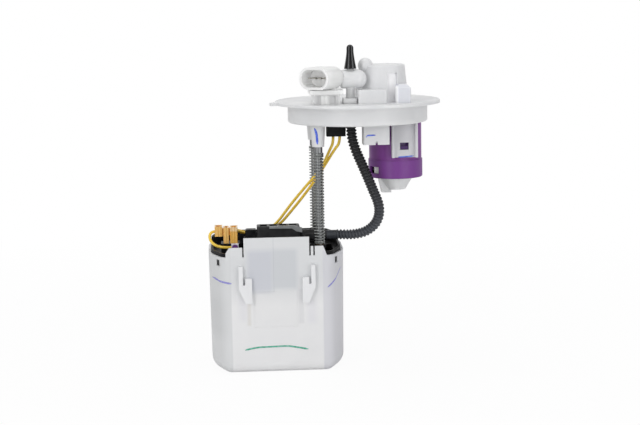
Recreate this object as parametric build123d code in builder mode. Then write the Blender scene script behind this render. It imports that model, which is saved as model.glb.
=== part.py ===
"""Fuel pump module for a car's tank.

A round flange closes the tank. Two sprung guide rods under it carry the reservoir, which
holds the electric pump, and press it onto the tank floor. Sizes are in millimetres, +Z is
up, and the origin is the centre of the flange's seal face, where the tank neck begins.
"""

import os
from math import atan, cos, degrees, pi, radians, sin, sqrt, tan

from build123d import *

os.makedirs("parts", exist_ok=True)

# ---------------------------------------------------------------- driving dimensions
# fits
press_gap = 0.05  # between pieces that are pushed or moulded into each other
slide_gap = 0.05  # radial, a rod or shaft that runs in its bush
loose_gap = 0.35  # between pieces that only pass each other

# flange plate and the skirt that enters the tank neck
plate_radius = 73.3
plate_thickness = 2.8
skirt_radius = 62.0
skirt_wall = 2.2
skirt_depth = 16.0
skirt_lead_in = 1.0
tab_reach = 6.0
tab_width = 9.0
tab_angle = 191.0
under_rib_depth = 9.0
under_rib_wall = 1.6
under_rib_overhang = 13.0

# the two guide rods, with their bosses, springs and bushes
rod_x = -37.5
rod_pitch = 64.0
rod_radius = 2.75
boss_top_radius = 7.4
boss_end_radius = 5.3
boss_length = 35.0
boss_floor = 4.0
collar_radius = 3.7
collar_length = 5.4
spring_radius = 4.7
spring_wire = 1.2
spring_seat_z = -121.0
sleeve_radius = 5.4
sleeve_end_z = -150.0
bush_wall = 1.0
retainer_radius = 4.6
retainer_thickness = 1.0
rod_tail = 2.0

# electrical connector on top of the flange
connector_x = -42.0
connector_y = -57.0
connector_z = 25.3
connector_turn = 38.0  # degrees that the mouth turns left from -Y
connector_width = 30.0
connector_height = 19.0
connector_wall = 2.2
connector_length = 24.0
socket_depth = 15.0
pedestal_left = -42.0
pedestal_right = -19.4
pedestal_front = -52.0
pedestal_back = -15.0
pedestal_top_z = 15.0
shelf_z = 11.4
shelf_reach = 2.8
panel_margin = 2.4
neck_inset = 3.0
neck_back = -32.0
panel_depth = 1.2
blade_width = 2.8
blade_thickness = 0.8
blade_pitch = 5.2
blade_reach = 10.0

# plug under the flange
plug_x = -21.2
plug_y = -22.0
plug_width = 16.6
plug_depth = 12.0
plug_top_z = -6.0
plug_end_z = -27.0
pin_x = -24.0
pin_pitch = 2.6
pin_size = 1.0
latch_reach = 1.2
latch_height = 3.0
latch_rise = 5.0
collar_wall = 1.6

# fuel outlet on top of the flange
outlet_x = -9.3
outlet_y = -40.0
column_radius = 3.8
barrel_z = 23.6
barrel_radius = 8.1
barrel_left = -18.2
barrel_right = 4.7
nipple_radius = 3.0
nipple_top_z = 43.0
outlet_bore = 1.8
stub_radius = 4.3
stub_end_z = -12.0
foot_left = -16.0
foot_right = -4.2
foot_depth = 15.0
foot_height = 4.6

# shipping cap on the outlet nipple
cap_base_z = 32.4
cap_top_z = 53.0
cap_base_radius = 5.3
cap_tip_radius = 3.1
cap_flutes = 6
cap_flute_radius = 0.9

# vapour tower on top of the flange
tower_x = 20.5
tower_y = -20.0
tower_base_radius = 22.7
tower_top_radius = 19.4
tower_top_z = 34.7
tower_wall = 3.0
recess_left = 22.6
recess_right = 31.2
recess_top_z = 28.0
recess_depth = 1.9
plinth_left = -3.6
plinth_right = 20.6
plinth_front = -55.0
plinth_top_z = 14.6
side_box_left = 29.2
side_box_right = 42.0
side_box_front = -50.0
side_box_back = -34.0
side_box_top_z = 18.6
side_box_bevel = 3.2
port_x = 4.9
port_y = -27.0
port_z = 34.4
port_radius = 6.5
port_neck_radius = 4.6

# purple vent valve under the flange
valve_x = 33.7
valve_y = 2.0
valve_radius = 23.4
valve_band_radius = 24.2
valve_band_z = -50.6
valve_end_z = -66.5
valve_top = 2.0
valve_wall = 1.6
valve_ring = 3.0
nozzle_z = -78.0
nozzle_top_radius = 15.8
nozzle_end_radius = 9.0
nozzle_wall = 1.6
lug_width = 12.0
lug_drop = 2.6
lug_taper = 2.9
snap_angle = 30.0
snap_z = -59.4
snap_height = 6.2
snap_width = 13.0
snap_tooth = 7.4
snap_wall = 1.4
float_radius = 11.0
float_length = 44.0
float_travel = 5.0
seat_radius = 2.4
seat_height = 5.0
needle_radius = 2.0
float_cage_wall = 1.5
float_cage_top_z = -14.0
vent_x = 27.5
vent_y = -11.0
vent_radius = 2.4
vent_groove = 1.4

# clip arm that holds the vent valve
arm_left = 27.6
arm_right = 50.4
arm_end_z = -47.0
arm_wall = 2.2
arm_taper = 0.6
arm_flange = 3.4
window_left = 34.9
window_right = 42.6
window_top_z = -34.0
window_end_z = -40.4

# pressure regulator case under the flange
case_left = 1.2
case_right = 24.0
case_front = -43.0
case_back = -26.0
case_end_z = -33.6
case_wall = 1.8
regulator_radius = 6.0
regulator_length = 22.0
notch_width = 2.0
notch_height = 3.0

# reservoir
tub_x = -75.6
tub_width = 119.8
tub_depth = 104.0
tub_height = 120.4
tub_wall = 2.0
tub_floor = 2.6
tub_draft = 0.6
flat_half = 40.3
tub_heel = 10.0
bow_start = 8.4
bow_depth = 24.0
bow_radius = 50.0
corner_radius = 12.0
rim_z = -127.5
side_panel_z = -119.2
mid_panel_z = -111.0
front_left = -120.3
front_right = -32.6
mid_left = -104.6
mid_right = -47.9
panel_slot = 1.3
finger_width = 2.2
step_height = 3.5
step_chamfer = 3.1
rail_height = 3.4
rail_middle = -76.25
rail_tall_out = 33.2
rail_tall_in = 29.6
rail_short_out = 27.6
rail_short_in = 21.9
rail_tall_z = -135.3
rail_short_z = -145.8
rail_notch_z = -151.5
rail_knee_z = -154.5
rail_end_z = -168.0
pocket_left = -97.0
pocket_right = -58.5
pocket_depth = 0.7
pocket_top_z = -158.0
pocket_end_z = -190.0
hook_y = -43.5
hook_z = -132.8
hook_width = 6.6
hook_height = 5.6
hook_depth = 0.7
stand_gap = 0.3
stand_top_z = -205.0
stand_window = 10.0
stand_window_height = 12.0

# carrier frame inside the reservoir
deck_z = -130.0
deck_thickness = 3.0
carrier_rim_wall = 1.8
carrier_front_z = -124.5
carrier_back_z = -119.5
carrier_skirt_z = -142.0
cage_wall = 2.0
cage_end_z = -172.0
header_left = -124.0
header_right = -107.5
header_front = -18.0
header_back = -2.0
header_top_z = -121.0
rim_step_y = 15.0
deck_windows = [(-121.0, -104.0, 8.0, 36.0), (-50.0, -24.0, -18.0, 18.0)]
cage_slot = 12.0
cage_slot_height = 30.0
saddle_x = -60.0
saddle_width = 6.0

# pump
pump_x = -76.0
pump_y = 0.0
can_radius = 19.0
can_wall = 1.2
pump_drop = 9.0
can_length = 68.0
isolator_wall = 2.0
isolator_length = 37.0
shaft_radius = 2.0
shaft_gap = 1.5
shaft_tail = 3.0
core_radius = 12.6
core_length = 28.0
core_slots = 8
slot_depth = 5.0
slot_mouth = 1.2
core_drop = 18.0
magnet_wall = 3.4
magnet_drop = 17.0
magnet_length = 31.0
magnet_split = 8.0
commutator_radius = 7.0
commutator_length = 9.0
commutator_drop = 8.5
impeller_radius = 16.0
impeller_thickness = 3.6
impeller_vanes = 18
impeller_gap = 0.3
vane_depth = 3.0
vane_gap = 3.2
inlet_height = 9.0
cap_rim = 2.0
port_offset = 12.5
inlet_bore = 2.5
inlet_neck_radius = 5.0
inlet_neck_z = -216.0
plate_height = 5.0
head_insert = 8.0
head_height = 4.0
head_wall = 2.0
brush_width = 4.4
brush_length = 4.4
brush_spring_length = 2.5
brush_wall = 1.2
nipple_y = -6.0
pump_nipple_radius = 4.2
pump_nipple_bore = 2.2

# fuel line on top of the reservoir
line_z = -117.0
line_radius = 4.6
line_bore = 2.6
line_left = -93.5
line_right = -51.4
line_joint_z = -124.0
valve_block = 9.0
lid_top_z = -107.2
lid_left = -92.0
lid_right = -54.0
lid_front = -13.5
lid_back = 1.5
lid_wall = 1.5
lid_pockets = 4
lid_pocket_depth = 3.0
cover_arm_left = -81.0
cover_arm_right = -52.0
cover_arm_width = 3.0
quick_length = 21.4
quick_body = 13.0
quick_tab_reach = 1.5
quick_tab_height = 5.0
quick_radius = 5.3
poppet_radius = 3.0
poppet_length = 5.0
poppet_gap = 0.1

# bottom of the reservoir
strainer_radius = 17.0
strainer_height = 7.4
feed_x = -100.3
feed_y = -9.3
jet_z = -218.0
jet_bore = 1.5
jet_radius = 4.0
jet_length = 26.0
feed_radius = 2.2
foot_valve_x = -104.0
foot_valve_y = 26.0
foot_valve_radius = 7.0
foot_passage_radius = 1.3
valve_stem_radius = 1.5

# hose and wires
hose_diameter = 8.6
wire_diameter = 2.0
hose_route = [
    (-9.3, -40.0, -12.0),
    (-9.3, -40.0, -25.0),
    (-5.6, -39.0, -38.0),
    (-0.2, -36.0, -50.0),
    (5.5, -32.0, -63.0),
    (10.8, -28.0, -76.0),
    (15.8, -24.5, -87.5),
    (16.6, -21.0, -98.0),
    (13.0, -17.0, -107.5),
    (4.5, -13.0, -114.5),
    (-6.9, -8.8, -117.2),
    (-18.4, -6.0, -117.0),
    (-30.0, -6.0, -117.0),
]
wire_left_route = [
    (-23.6, -22.0, -27.0),
    (-23.6, -22.0, -33.0),
    (-26.3, -20.0, -38.8),
    (-32.2, -16.6, -52.5),
    (-39.7, -10.8, -63.5),
    (-49.2, -3.0, -75.3),
    (-61.8, 5.0, -91.6),
    (-75.0, 10.0, -110.1),
    (-88.0, 11.0, -117.0),
    (-98.0, 10.2, -117.4),
    (-105.4, 7.4, -115.2),
    (-111.0, 2.0, -112.2),
    (-111.0, -4.0, -112.2),
]
wire_right_route = [
    (-17.9, -22.0, -27.0),
    (-17.9, -22.0, -33.5),
    (-22.2, -20.0, -38.7),
    (-31.6, -14.2, -54.9),
    (-38.8, -8.2, -66.5),
    (-46.1, -1.5, -78.0),
    (-58.4, 6.5, -94.5),
    (-72.5, 12.6, -111.8),
    (-88.0, 13.7, -117.0),
    (-99.3, 13.0, -116.8),
    (-109.0, 10.8, -113.6),
    (-113.8, 3.0, -112.0),
    (-113.8, -4.0, -112.0),
]
jumper_route = [
    (-129.4, -10.0, -111.0),
    (-133.0, -10.0, -111.0),
    (-134.6, -12.4, -116.6),
    (-130.4, -15.8, -122.2),
    (-122.6, -20.3, -124.0),
    (-115.2, -20.3, -124.0),
]

# amber pump connector
amber_top_z = -106.0
amber_front = -16.0
amber_back = -4.0
amber_towers = [
    (-129.4, -122.7, -114.7, -106.0),
    (-121.8, -117.0, -121.0, -107.0),
    (-116.0, -109.2, -121.0, -106.8),
]
lock_left = -115.2
lock_right = -108.5
lock_front = -22.0
lock_end_z = -127.0

# ---------------------------------------------------------------- worked-out places
rod_ends = [(rod_x, -rod_pitch / 2), (rod_x, rod_pitch / 2)]
boss_end_z = -boss_length
collar_end_z = boss_end_z - collar_length
retainer_top_z = sleeve_end_z - loose_gap
rod_end_z = retainer_top_z - retainer_thickness - rod_tail
bush_bore = rod_radius + slide_gap
tub_floor_z = mid_panel_z - tub_height
deck_low_z = deck_z - deck_thickness
isolator_end_z = deck_low_z - isolator_length
can_top_z = deck_low_z - pump_drop
can_end_z = can_top_z - can_length
core_top_z = can_top_z - core_drop
commutator_top_z = can_top_z - commutator_drop
magnet_top_z = can_top_z - magnet_drop
magnet_end_z = magnet_top_z - magnet_length
pump = (pump_x, pump_y)
can_bore = can_radius - can_wall
outlet = (outlet_x, outlet_y)
mouth = Plane(
    origin=(connector_x, connector_y, connector_z),
    x_dir=(cos(radians(connector_turn)), -sin(radians(connector_turn)), 0),
    z_dir=(-sin(radians(connector_turn)), -cos(radians(connector_turn)), 0),
)


def level(z):
    """A horizontal plane at height z."""
    return Plane.XY.offset(z)


def upright(y):
    """A plane that faces -Y at depth y, with x to the right and z up."""
    return Plane(origin=(0, y, 0), x_dir=(1, 0, 0), z_dir=(0, -1, 0))


def block(left, right, front, back, low, high, mode=Mode.ADD):
    """A box between three pairs of places, inside the current part."""
    with Locations(((left + right) / 2, (front + back) / 2, (low + high) / 2)):
        Box(right - left, back - front, high - low, mode=mode)


def post(x, y, radius, low, high, mode=Mode.ADD):
    """An upright cylinder between two heights, inside the current part."""
    with Locations((x, y, low)):
        Cylinder(radius, high - low, align=(Align.CENTER, Align.CENTER, Align.MIN), mode=mode)


def cone(x, y, low_radius, high_radius, low, high, mode=Mode.ADD):
    """An upright cone frustum between two heights, inside the current part."""
    with Locations((x, y, low)):
        Cone(low_radius, high_radius, high - low, align=(Align.CENTER, Align.CENTER, Align.MIN), mode=mode)


# ---------------------------------------------------------------- connector terminals
# Four brass leads: a flat blade in the socket, a leg down inside the pedestal, a run over
# the flange and a square pin that the plug under the flange takes.
lead_depth = socket_depth + 3.0
lead_low_z = plate_thickness + 3.0
mouth_right = Vector(mouth.x_dir)
mouth_out = Vector(mouth.z_dir)


def strip(start, end, width, thickness):
    """A straight strip between two points, inside the current part."""
    way = end - start
    with BuildSketch(Plane(origin=start, z_dir=way)) as section:
        Rectangle(width, thickness)
    extrude(section.sketch, amount=way.length + thickness / 2)


with BuildPart() as terminals:
    for index in range(4):
        shift = (index - 1.5) * blade_pitch
        tip = mouth.origin + mouth_right * shift - mouth_out * (socket_depth - blade_reach)
        bend = mouth.origin + mouth_right * shift - mouth_out * lead_depth
        with BuildSketch(Plane(origin=tip, x_dir=mouth.x_dir, z_dir=-mouth_out)):
            Rectangle(blade_width, blade_thickness)
        extrude(amount=(bend - tip).length + pin_size / 2)
        pin = Vector(pin_x + (index - 1.5) * pin_pitch, plug_y, 0)
        foot = Vector(bend.X, bend.Y, lead_low_z)
        strip(bend, foot, pin_size, pin_size)
        strip(foot, Vector(pin.X, pin.Y, lead_low_z), pin_size, pin_size)
        block(
            pin.X - pin_size / 2, pin.X + pin_size / 2, pin.Y - pin_size / 2, pin.Y + pin_size / 2,
            plug_top_z - 7.0, lead_low_z + pin_size / 2,
        )

# ---------------------------------------------------------------- flange
# Natural acetal moulding: the plate that the lock ring holds down, the skirt that fills the
# tank neck, the rod bosses and the clip arm for the vent valve.
arm_back = valve_y - valve_band_radius - loose_gap
vent_way = Vector(vent_x - valve_x, vent_y - valve_y, 0)
vent_turn = degrees(atan(vent_way.Y / vent_way.X))
arm_front = arm_back - arm_wall
with BuildPart() as flange:
    with BuildSketch():
        Circle(plate_radius)
        with PolarLocations(plate_radius, 1, start_angle=tab_angle):
            Rectangle(2 * tab_reach, tab_width)
    extrude(amount=plate_thickness)
    fillet(flange.edges().group_by(Axis.Z)[-1], 0.9)
    with BuildSketch():
        Circle(skirt_radius)
        Circle(skirt_radius - skirt_wall, mode=Mode.SUBTRACT)
    extrude(amount=-skirt_depth)
    skirt_end = flange.edges().group_by(Axis.Z)[0].sort_by(SortBy.RADIUS)[-1]
    chamfer(skirt_end, skirt_lead_in)
    for x, y in rod_ends:
        cone(x, y, boss_end_radius, boss_top_radius, boss_end_z, 0)
    # ribs that tie the bosses to each other and to the skirt
    rib = under_rib_wall / 2
    block(
        rod_x - rib, rod_x + rib, -rod_pitch / 2 - under_rib_overhang,
        rod_pitch / 2 + under_rib_overhang, -under_rib_depth, 0,
    )
    block(-skirt_radius + skirt_wall / 2, rod_x, -rib, rib, -under_rib_depth, 0)
    # collar round the pins, for the plug
    with BuildSketch():
        with Locations((plug_x, plug_y)):
            Rectangle(plug_width, plug_depth)
            Rectangle(plug_width - 2 * collar_wall, plug_depth - 2 * collar_wall, mode=Mode.SUBTRACT)
    extrude(amount=plug_top_z)
    # clip arm: a channel that hangs in front of the vent valve, with a window for its lug
    with BuildSketch(upright(arm_back)):
        with BuildLine():
            Polyline(
                (arm_left - arm_taper, 0), (arm_left, arm_end_z),
                (arm_right, arm_end_z), (arm_right + arm_taper, 0), close=True,
            )
        make_face()
    extrude(amount=arm_wall)
    for side in (arm_left, arm_right - arm_wall):
        block(side, side + arm_wall, arm_front - arm_flange, arm_front, arm_end_z, 0)
    block(
        window_left, window_right, arm_front - 1, arm_back + 1,
        window_end_z, window_top_z, mode=Mode.SUBTRACT,
    )
    # seats for the rods and the outlet stub, and the vapour's way from the valve to the tower
    for x, y in rod_ends:
        post(x, y, rod_radius + press_gap, boss_end_z, -boss_floor, mode=Mode.SUBTRACT)
    post(outlet_x, outlet_y, stub_radius + press_gap, 0, plate_thickness, mode=Mode.SUBTRACT)
    post(vent_x, vent_y, vent_radius, 0, plate_thickness, mode=Mode.SUBTRACT)
    with BuildSketch():
        with Locations(((vent_x + valve_x) / 2, (vent_y + valve_y) / 2)):
            SlotCenterToCenter(vent_way.length, 2 * vent_radius, rotation=vent_turn)
    extrude(amount=vent_groove, mode=Mode.SUBTRACT)
    add(terminals.part, mode=Mode.SUBTRACT)

# ---------------------------------------------------------------- connector shell
# White receptacle welded on the flange. Its oval mouth looks forward and to the left, over a
# shelf and a pedestal with two sunk panels. The terminals are moulded in, and the shell is
# hollowed where the fuel outlet's barrel passes.
with BuildPart() as connector_shell:
    with BuildSketch(mouth.offset(-connector_length)):
        SlotOverall(connector_width, connector_height)
    extrude(amount=connector_length)
    fillet(connector_shell.faces().sort_by(Axis(mouth.origin, mouth.z_dir))[0].edges(), 1.5)
    block(
        pedestal_left, pedestal_right, pedestal_front, pedestal_back,
        plate_thickness, pedestal_top_z,
    )
    fillet(connector_shell.edges().filter_by(Axis.Z), 1.5)
    block(
        pedestal_left - shelf_reach, pedestal_right + shelf_reach, pedestal_front - shelf_reach,
        pedestal_back, shelf_z, pedestal_top_z,
    )
    block(
        pedestal_left + neck_inset, pedestal_right - neck_inset, pedestal_front + neck_inset,
        neck_back, pedestal_top_z, connector_z,
    )
    panel_width = (pedestal_right - pedestal_left - 4 * panel_margin) / 2
    for side in (-1, 1):
        middle = (pedestal_left + pedestal_right) / 2 + side * (panel_width + panel_margin) / 2
        block(
            middle - panel_width / 2, middle + panel_width / 2,
            pedestal_front, pedestal_front + panel_depth,
            plate_thickness + panel_margin / 2, shelf_z - panel_margin / 3, mode=Mode.SUBTRACT,
        )
    with BuildSketch(mouth):
        SlotOverall(connector_width - 2 * connector_wall, connector_height - 2 * connector_wall)
    extrude(amount=-socket_depth, mode=Mode.SUBTRACT)
    with BuildSketch(Plane.YZ.offset(barrel_left - press_gap)):
        with Locations((outlet_y, barrel_z)):
            Circle(barrel_radius + press_gap)
    extrude(amount=barrel_right - barrel_left, mode=Mode.SUBTRACT)
    add(terminals.part, mode=Mode.SUBTRACT)

# ---------------------------------------------------------------- plug under the flange
# Black plug that the pump's wires come from. It is pushed onto the pins.
with BuildPart() as harness_plug:
    block(
        plug_x - plug_width / 2, plug_x + plug_width / 2, plug_y - plug_depth / 2,
        plug_y + plug_depth / 2, plug_end_z, plug_top_z,
    )
    fillet(harness_plug.edges().filter_by(Axis.Z), 1.0)
    block(
        plug_x - plug_width / 2, plug_x + plug_width / 2, plug_y - plug_depth / 2 - latch_reach,
        plug_y - plug_depth / 2, plug_end_z + latch_rise, plug_end_z + latch_rise + latch_height,
    )
    add(terminals.part, mode=Mode.SUBTRACT)

# ---------------------------------------------------------------- fuel outlet
# White fitting welded through the flange: a column, a barrel that lies across it, the nipple
# for the fuel pipe on top and the stub for the hose below.
with BuildPart() as supply_fitting:
    with BuildSketch(Plane.YZ.offset(barrel_left)):
        with Locations((outlet_y, barrel_z)):
            Circle(barrel_radius)
    extrude(amount=barrel_right - barrel_radius - barrel_left)
    fillet(supply_fitting.faces().sort_by(Axis.X)[0].edges(), 2.4)
    with Locations((barrel_right - barrel_radius, outlet_y, barrel_z)):
        Sphere(barrel_radius)
    with BuildSketch(level(plate_thickness)):
        with Locations(((foot_left + foot_right) / 2, outlet_y)):
            RectangleRounded(foot_right - foot_left, foot_depth, 1.5)
    extrude(amount=foot_height)
    post(outlet_x, outlet_y, column_radius, plate_thickness, barrel_z)
    post(outlet_x, outlet_y, nipple_radius, barrel_z, nipple_top_z)
    post(outlet_x, outlet_y, stub_radius, stub_end_z, plate_thickness)
    post(outlet_x, outlet_y, outlet_bore, stub_end_z, nipple_top_z, mode=Mode.SUBTRACT)

# ---------------------------------------------------------------- shipping cap
# Black fluted cap that keeps dirt out of the outlet until the pipe is fitted.
cap_rake = degrees(atan((cap_base_radius - cap_tip_radius) / (cap_top_z - cap_tip_radius - cap_base_z)))
with BuildPart() as shipping_cap:
    with BuildSketch(level(cap_base_z)):
        with Locations(outlet):
            Circle(cap_base_radius)
            with PolarLocations(cap_base_radius + cap_flute_radius / 2, cap_flutes):
                Circle(cap_flute_radius, mode=Mode.SUBTRACT)
    extrude(amount=cap_top_z - cap_tip_radius - cap_base_z, taper=cap_rake)
    with Locations((outlet_x, outlet_y, cap_top_z - cap_tip_radius)):
        Sphere(cap_tip_radius)
    post(
        outlet_x, outlet_y, nipple_radius + slide_gap, cap_base_z, nipple_top_z + loose_gap,
        mode=Mode.SUBTRACT,
    )

# ---------------------------------------------------------------- vapour tower
# White tapered dome welded on the flange over the vent valve, with a plinth in front, a box
# on its right and a round closed port at its top left.
port_way = Vector(tower_x - port_x, tower_y - port_y, 0)
with BuildPart() as dome:
    cone(tower_x, tower_y, tower_base_radius, tower_top_radius, plate_thickness, tower_top_z)
    chamfer(dome.faces().sort_by(Axis.Z)[-1].edges(), 0.8)
    # upright recess below the lip, cut deep and filled again by a slimmer cone
    block(
        recess_left, recess_right, tower_y - tower_base_radius, tower_y,
        plate_thickness, recess_top_z, mode=Mode.SUBTRACT,
    )
    cone(
        tower_x, tower_y, tower_base_radius - recess_depth, tower_top_radius - recess_depth,
        plate_thickness, tower_top_z - recess_depth,
    )

with BuildPart() as vapour_tower:
    block(side_box_left, side_box_right, side_box_front, side_box_back, plate_thickness, side_box_top_z)
    chamfer(vapour_tower.faces().sort_by(Axis.Z)[-1].edges(), side_box_bevel)
    block(plinth_left, plinth_right, plinth_front, tower_y, plate_thickness, plinth_top_z)
    fillet(vapour_tower.edges().filter_by(Axis.Z), 1.4)
    add(dome.part)
    with BuildSketch(Plane(origin=(port_x, port_y, port_z), z_dir=port_way)) as neck:
        Circle(port_neck_radius)
    extrude(neck.sketch, amount=port_way.length - tower_top_radius + tower_wall / 2)
    with Locations((port_x, port_y, port_z)):
        Sphere(port_radius)
    cone(
        tower_x, tower_y, tower_base_radius - tower_wall, tower_top_radius - tower_wall,
        plate_thickness, tower_top_z - tower_wall, mode=Mode.SUBTRACT,
    )

# ---------------------------------------------------------------- pressure regulator
# White case under the flange, open below, with the regulator's steel can inside.
case_x = (case_left + case_right) / 2
case_y = (case_front + case_back) / 2
with BuildPart() as regulator_case:
    block(case_left, case_right, case_front, case_back, case_end_z, 0)
    fillet(regulator_case.edges().filter_by(Axis.Z), 1.6)
    block(
        case_left + case_wall, case_right - case_wall, case_front + case_wall, case_back - case_wall,
        case_end_z, -case_wall, mode=Mode.SUBTRACT,
    )
    block(
        case_x - notch_width / 2, case_x + notch_width / 2, case_front, case_front + case_wall,
        case_end_z, case_end_z + notch_height, mode=Mode.SUBTRACT,
    )
with BuildPart() as pressure_regulator:
    post(case_x, case_y, regulator_radius, -case_wall - regulator_length, -case_wall)
    post(
        case_x, case_y, regulator_radius + 0.6, -case_wall - regulator_length / 2 - 1,
        -case_wall - regulator_length / 2 + 1,
    )
    fillet(pressure_regulator.faces().sort_by(Axis.Z)[0].edges(), 1.2)

# ---------------------------------------------------------------- vent valve
# Purple cup that lets vapour out and shuts when fuel reaches it. The white nozzle closes it
# from below and carries the cage in which the float rises.
valve_bore = valve_radius - valve_wall
seat_z = -valve_top - seat_height
nozzle_floor_z = valve_end_z + valve_ring
snap_way = Vector(-cos(radians(snap_angle)), -sin(radians(snap_angle)), 0)
snap_plane = Plane(origin=(valve_x, valve_y, 0), x_dir=(0, 0, 1), z_dir=snap_way)
with BuildPart() as vent_valve_case:
    post(valve_x, valve_y, valve_radius, valve_band_z, 0)
    post(valve_x, valve_y, valve_band_radius, valve_end_z, valve_band_z)
    chamfer(vent_valve_case.edges().group_by(Axis.Z)[0], 0.6)
    post(valve_x, valve_y, valve_bore, valve_end_z, -valve_top, mode=Mode.SUBTRACT)
    post(valve_x, valve_y, seat_radius + 2, seat_z, -valve_top)
    post(valve_x, valve_y, seat_radius, seat_z, 0, mode=Mode.SUBTRACT)
    block(
        window_left + loose_gap, window_right - loose_gap, arm_front + arm_wall / 2,
        valve_y - valve_bore + 1, window_end_z + loose_gap, (window_end_z + window_top_z) / 2,
    )
    post(valve_x, valve_y, valve_bore, window_end_z - 1, window_top_z + 1, mode=Mode.SUBTRACT)
    with BuildSketch(snap_plane):
        with Locations((snap_z, 0)):
            Rectangle(snap_height, snap_width)
    extrude(amount=valve_band_radius + 1, mode=Mode.SUBTRACT)

with BuildPart() as vent_valve_nozzle:
    cone(valve_x, valve_y, nozzle_end_radius, nozzle_top_radius, nozzle_z, valve_end_z)
    with BuildSketch(upright(valve_y)) as lug:
        with BuildLine():
            Polyline(
                (valve_x - nozzle_top_radius, valve_end_z),
                (valve_x - nozzle_top_radius + lug_taper, nozzle_z - lug_drop),
                (valve_x - nozzle_end_radius / 2, nozzle_z - lug_drop),
                (valve_x - nozzle_end_radius / 2, valve_end_z),
                close=True,
            )
        make_face()
    extrude(lug.sketch, amount=lug_width / 2, both=True)
    cone(
        valve_x, valve_y, nozzle_end_radius - nozzle_wall, nozzle_top_radius - nozzle_wall,
        nozzle_z + nozzle_wall, valve_end_z, mode=Mode.SUBTRACT,
    )
    post(valve_x, valve_y, valve_bore - press_gap, valve_end_z, nozzle_floor_z)
    post(valve_x, valve_y, float_radius + loose_gap + float_cage_wall, nozzle_floor_z, float_cage_top_z)
    post(valve_x, valve_y, float_radius + loose_gap, nozzle_floor_z, float_cage_top_z, mode=Mode.SUBTRACT)
    post(valve_x, valve_y, float_radius - 3, valve_end_z, nozzle_floor_z, mode=Mode.SUBTRACT)
    post(valve_x, valve_y, nozzle_end_radius / 3, nozzle_z, nozzle_z + nozzle_wall, mode=Mode.SUBTRACT)
    # the tongue in the snap window, and its tooth
    tongue = snap_plane.offset(sqrt(valve_bore**2 - snap_width**2 / 4) - snap_wall - loose_gap)
    tongue_shift = (snap_tooth - snap_width) / 2 + loose_gap
    with BuildSketch(tongue):
        with Locations(((nozzle_floor_z + snap_z + snap_height / 2 - loose_gap) / 2, tongue_shift)):
            Rectangle(snap_z + snap_height / 2 - loose_gap - nozzle_floor_z, snap_tooth)
    extrude(amount=snap_wall)
    with BuildSketch(tongue):
        with Locations((snap_z, tongue_shift)):
            Rectangle(snap_height - 2 * loose_gap, snap_tooth)
    extrude(amount=snap_wall + valve_wall + loose_gap)

# The float and its needle rise together and shut the seat.
float_z = nozzle_floor_z + loose_gap
needle_top_z = seat_z - float_travel - loose_gap
with BuildPart() as vent_float:
    post(valve_x, valve_y, float_radius, float_z, float_z + float_length)
    fillet(vent_float.edges().group_by(Axis.Z)[-1], 1.5)
    post(valve_x, valve_y, needle_radius, float_z + float_length - 1, needle_top_z - 2)
    cone(valve_x, valve_y, needle_radius, needle_radius / 2, needle_top_z - 2, needle_top_z)

# ---------------------------------------------------------------- guide rods and springs
# Two steel rods pressed into the flange's bosses, each with a collar above its spring and a
# push-on nut below the reservoir's sleeve that keeps the reservoir on.
rod_pieces = {}
for side, (x, y) in zip(("front", "back"), rod_ends):
    with BuildPart() as guide_rod:
        post(x, y, rod_radius, rod_end_z, -boss_floor)
        chamfer(guide_rod.edges().group_by(Axis.Z)[0], 0.6)
    rod_pieces["guide_rod_" + side] = guide_rod
    # The coil spring is a plain sleeve of its outside and inside diameters.
    with BuildPart() as rod_spring:
        post(x, y, spring_radius, spring_seat_z, collar_end_z)
        post(x, y, spring_radius - spring_wire, spring_seat_z, collar_end_z, mode=Mode.SUBTRACT)
    rod_pieces["rod_spring_" + side] = rod_spring

with BuildPart() as rod_collars:
    for x, y in rod_ends:
        post(x, y, collar_radius, collar_end_z, boss_end_z)
        post(x, y, rod_radius + press_gap, collar_end_z, boss_end_z, mode=Mode.SUBTRACT)

with BuildPart() as rod_retainers:
    for x, y in rod_ends:
        post(x, y, retainer_radius, retainer_top_z - retainer_thickness, retainer_top_z)
        post(
            x, y, rod_radius + press_gap, retainer_top_z - retainer_thickness, retainer_top_z,
            mode=Mode.SUBTRACT,
        )


# ---------------------------------------------------------------- reservoir
# Natural polyethylene tub, open above, with a flat front, bowed sides and a slight draft. Its
# front rises in three panels parted by slots, and two forked rails stand on it.
half_width = tub_width / 2
half_depth = tub_depth / 2
front_y = -half_depth
draft = tan(radians(tub_draft))
floor_z = tub_floor_z + tub_floor
stand_bore = can_radius + stand_gap


def tub_plan(z, inset):
    """The tub's plan at height z, drawn in by inset from its outside there."""
    with BuildSketch(level(z)) as plan:
        with Locations((tub_x, 0)):
            Polygon(
                (flat_half + bow_start, half_depth),
                (half_width, bow_depth),
                (half_width, -bow_depth),
                (flat_half + bow_start, -half_depth),
                (-flat_half - bow_start, -half_depth),
                (-half_width, -bow_depth),
                (-half_width, bow_depth),
                (-flat_half - bow_start, half_depth),
                align=None,
            )
        fillet(plan.vertices().filter_by(lambda v: abs(v.Y) > half_depth - 1), corner_radius)
        fillet(plan.vertices().filter_by(lambda v: abs(v.X - tub_x) > half_width - 0.01), bow_radius)
        offset(amount=-inset - draft * (mid_panel_z - z))
    return plan.sketch


def tub_layer(low, high, inset):
    """A layer between two heights with the plan that the tub has at the lower one."""
    return extrude(tub_plan(low, inset), amount=high - low, mode=Mode.PRIVATE)


def ring(x, y, outer, inner, low, high):
    """An upright tube between two heights, inside the current part."""
    post(x, y, outer, low, high)
    post(x, y, inner, low, high, mode=Mode.SUBTRACT)


def window_place(side):
    """Where the wall's window for a carrier catch is, on the right or left side."""
    return (tub_x + side * (flat_half + bow_start + half_width) / 2, hook_y, hook_z)


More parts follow.
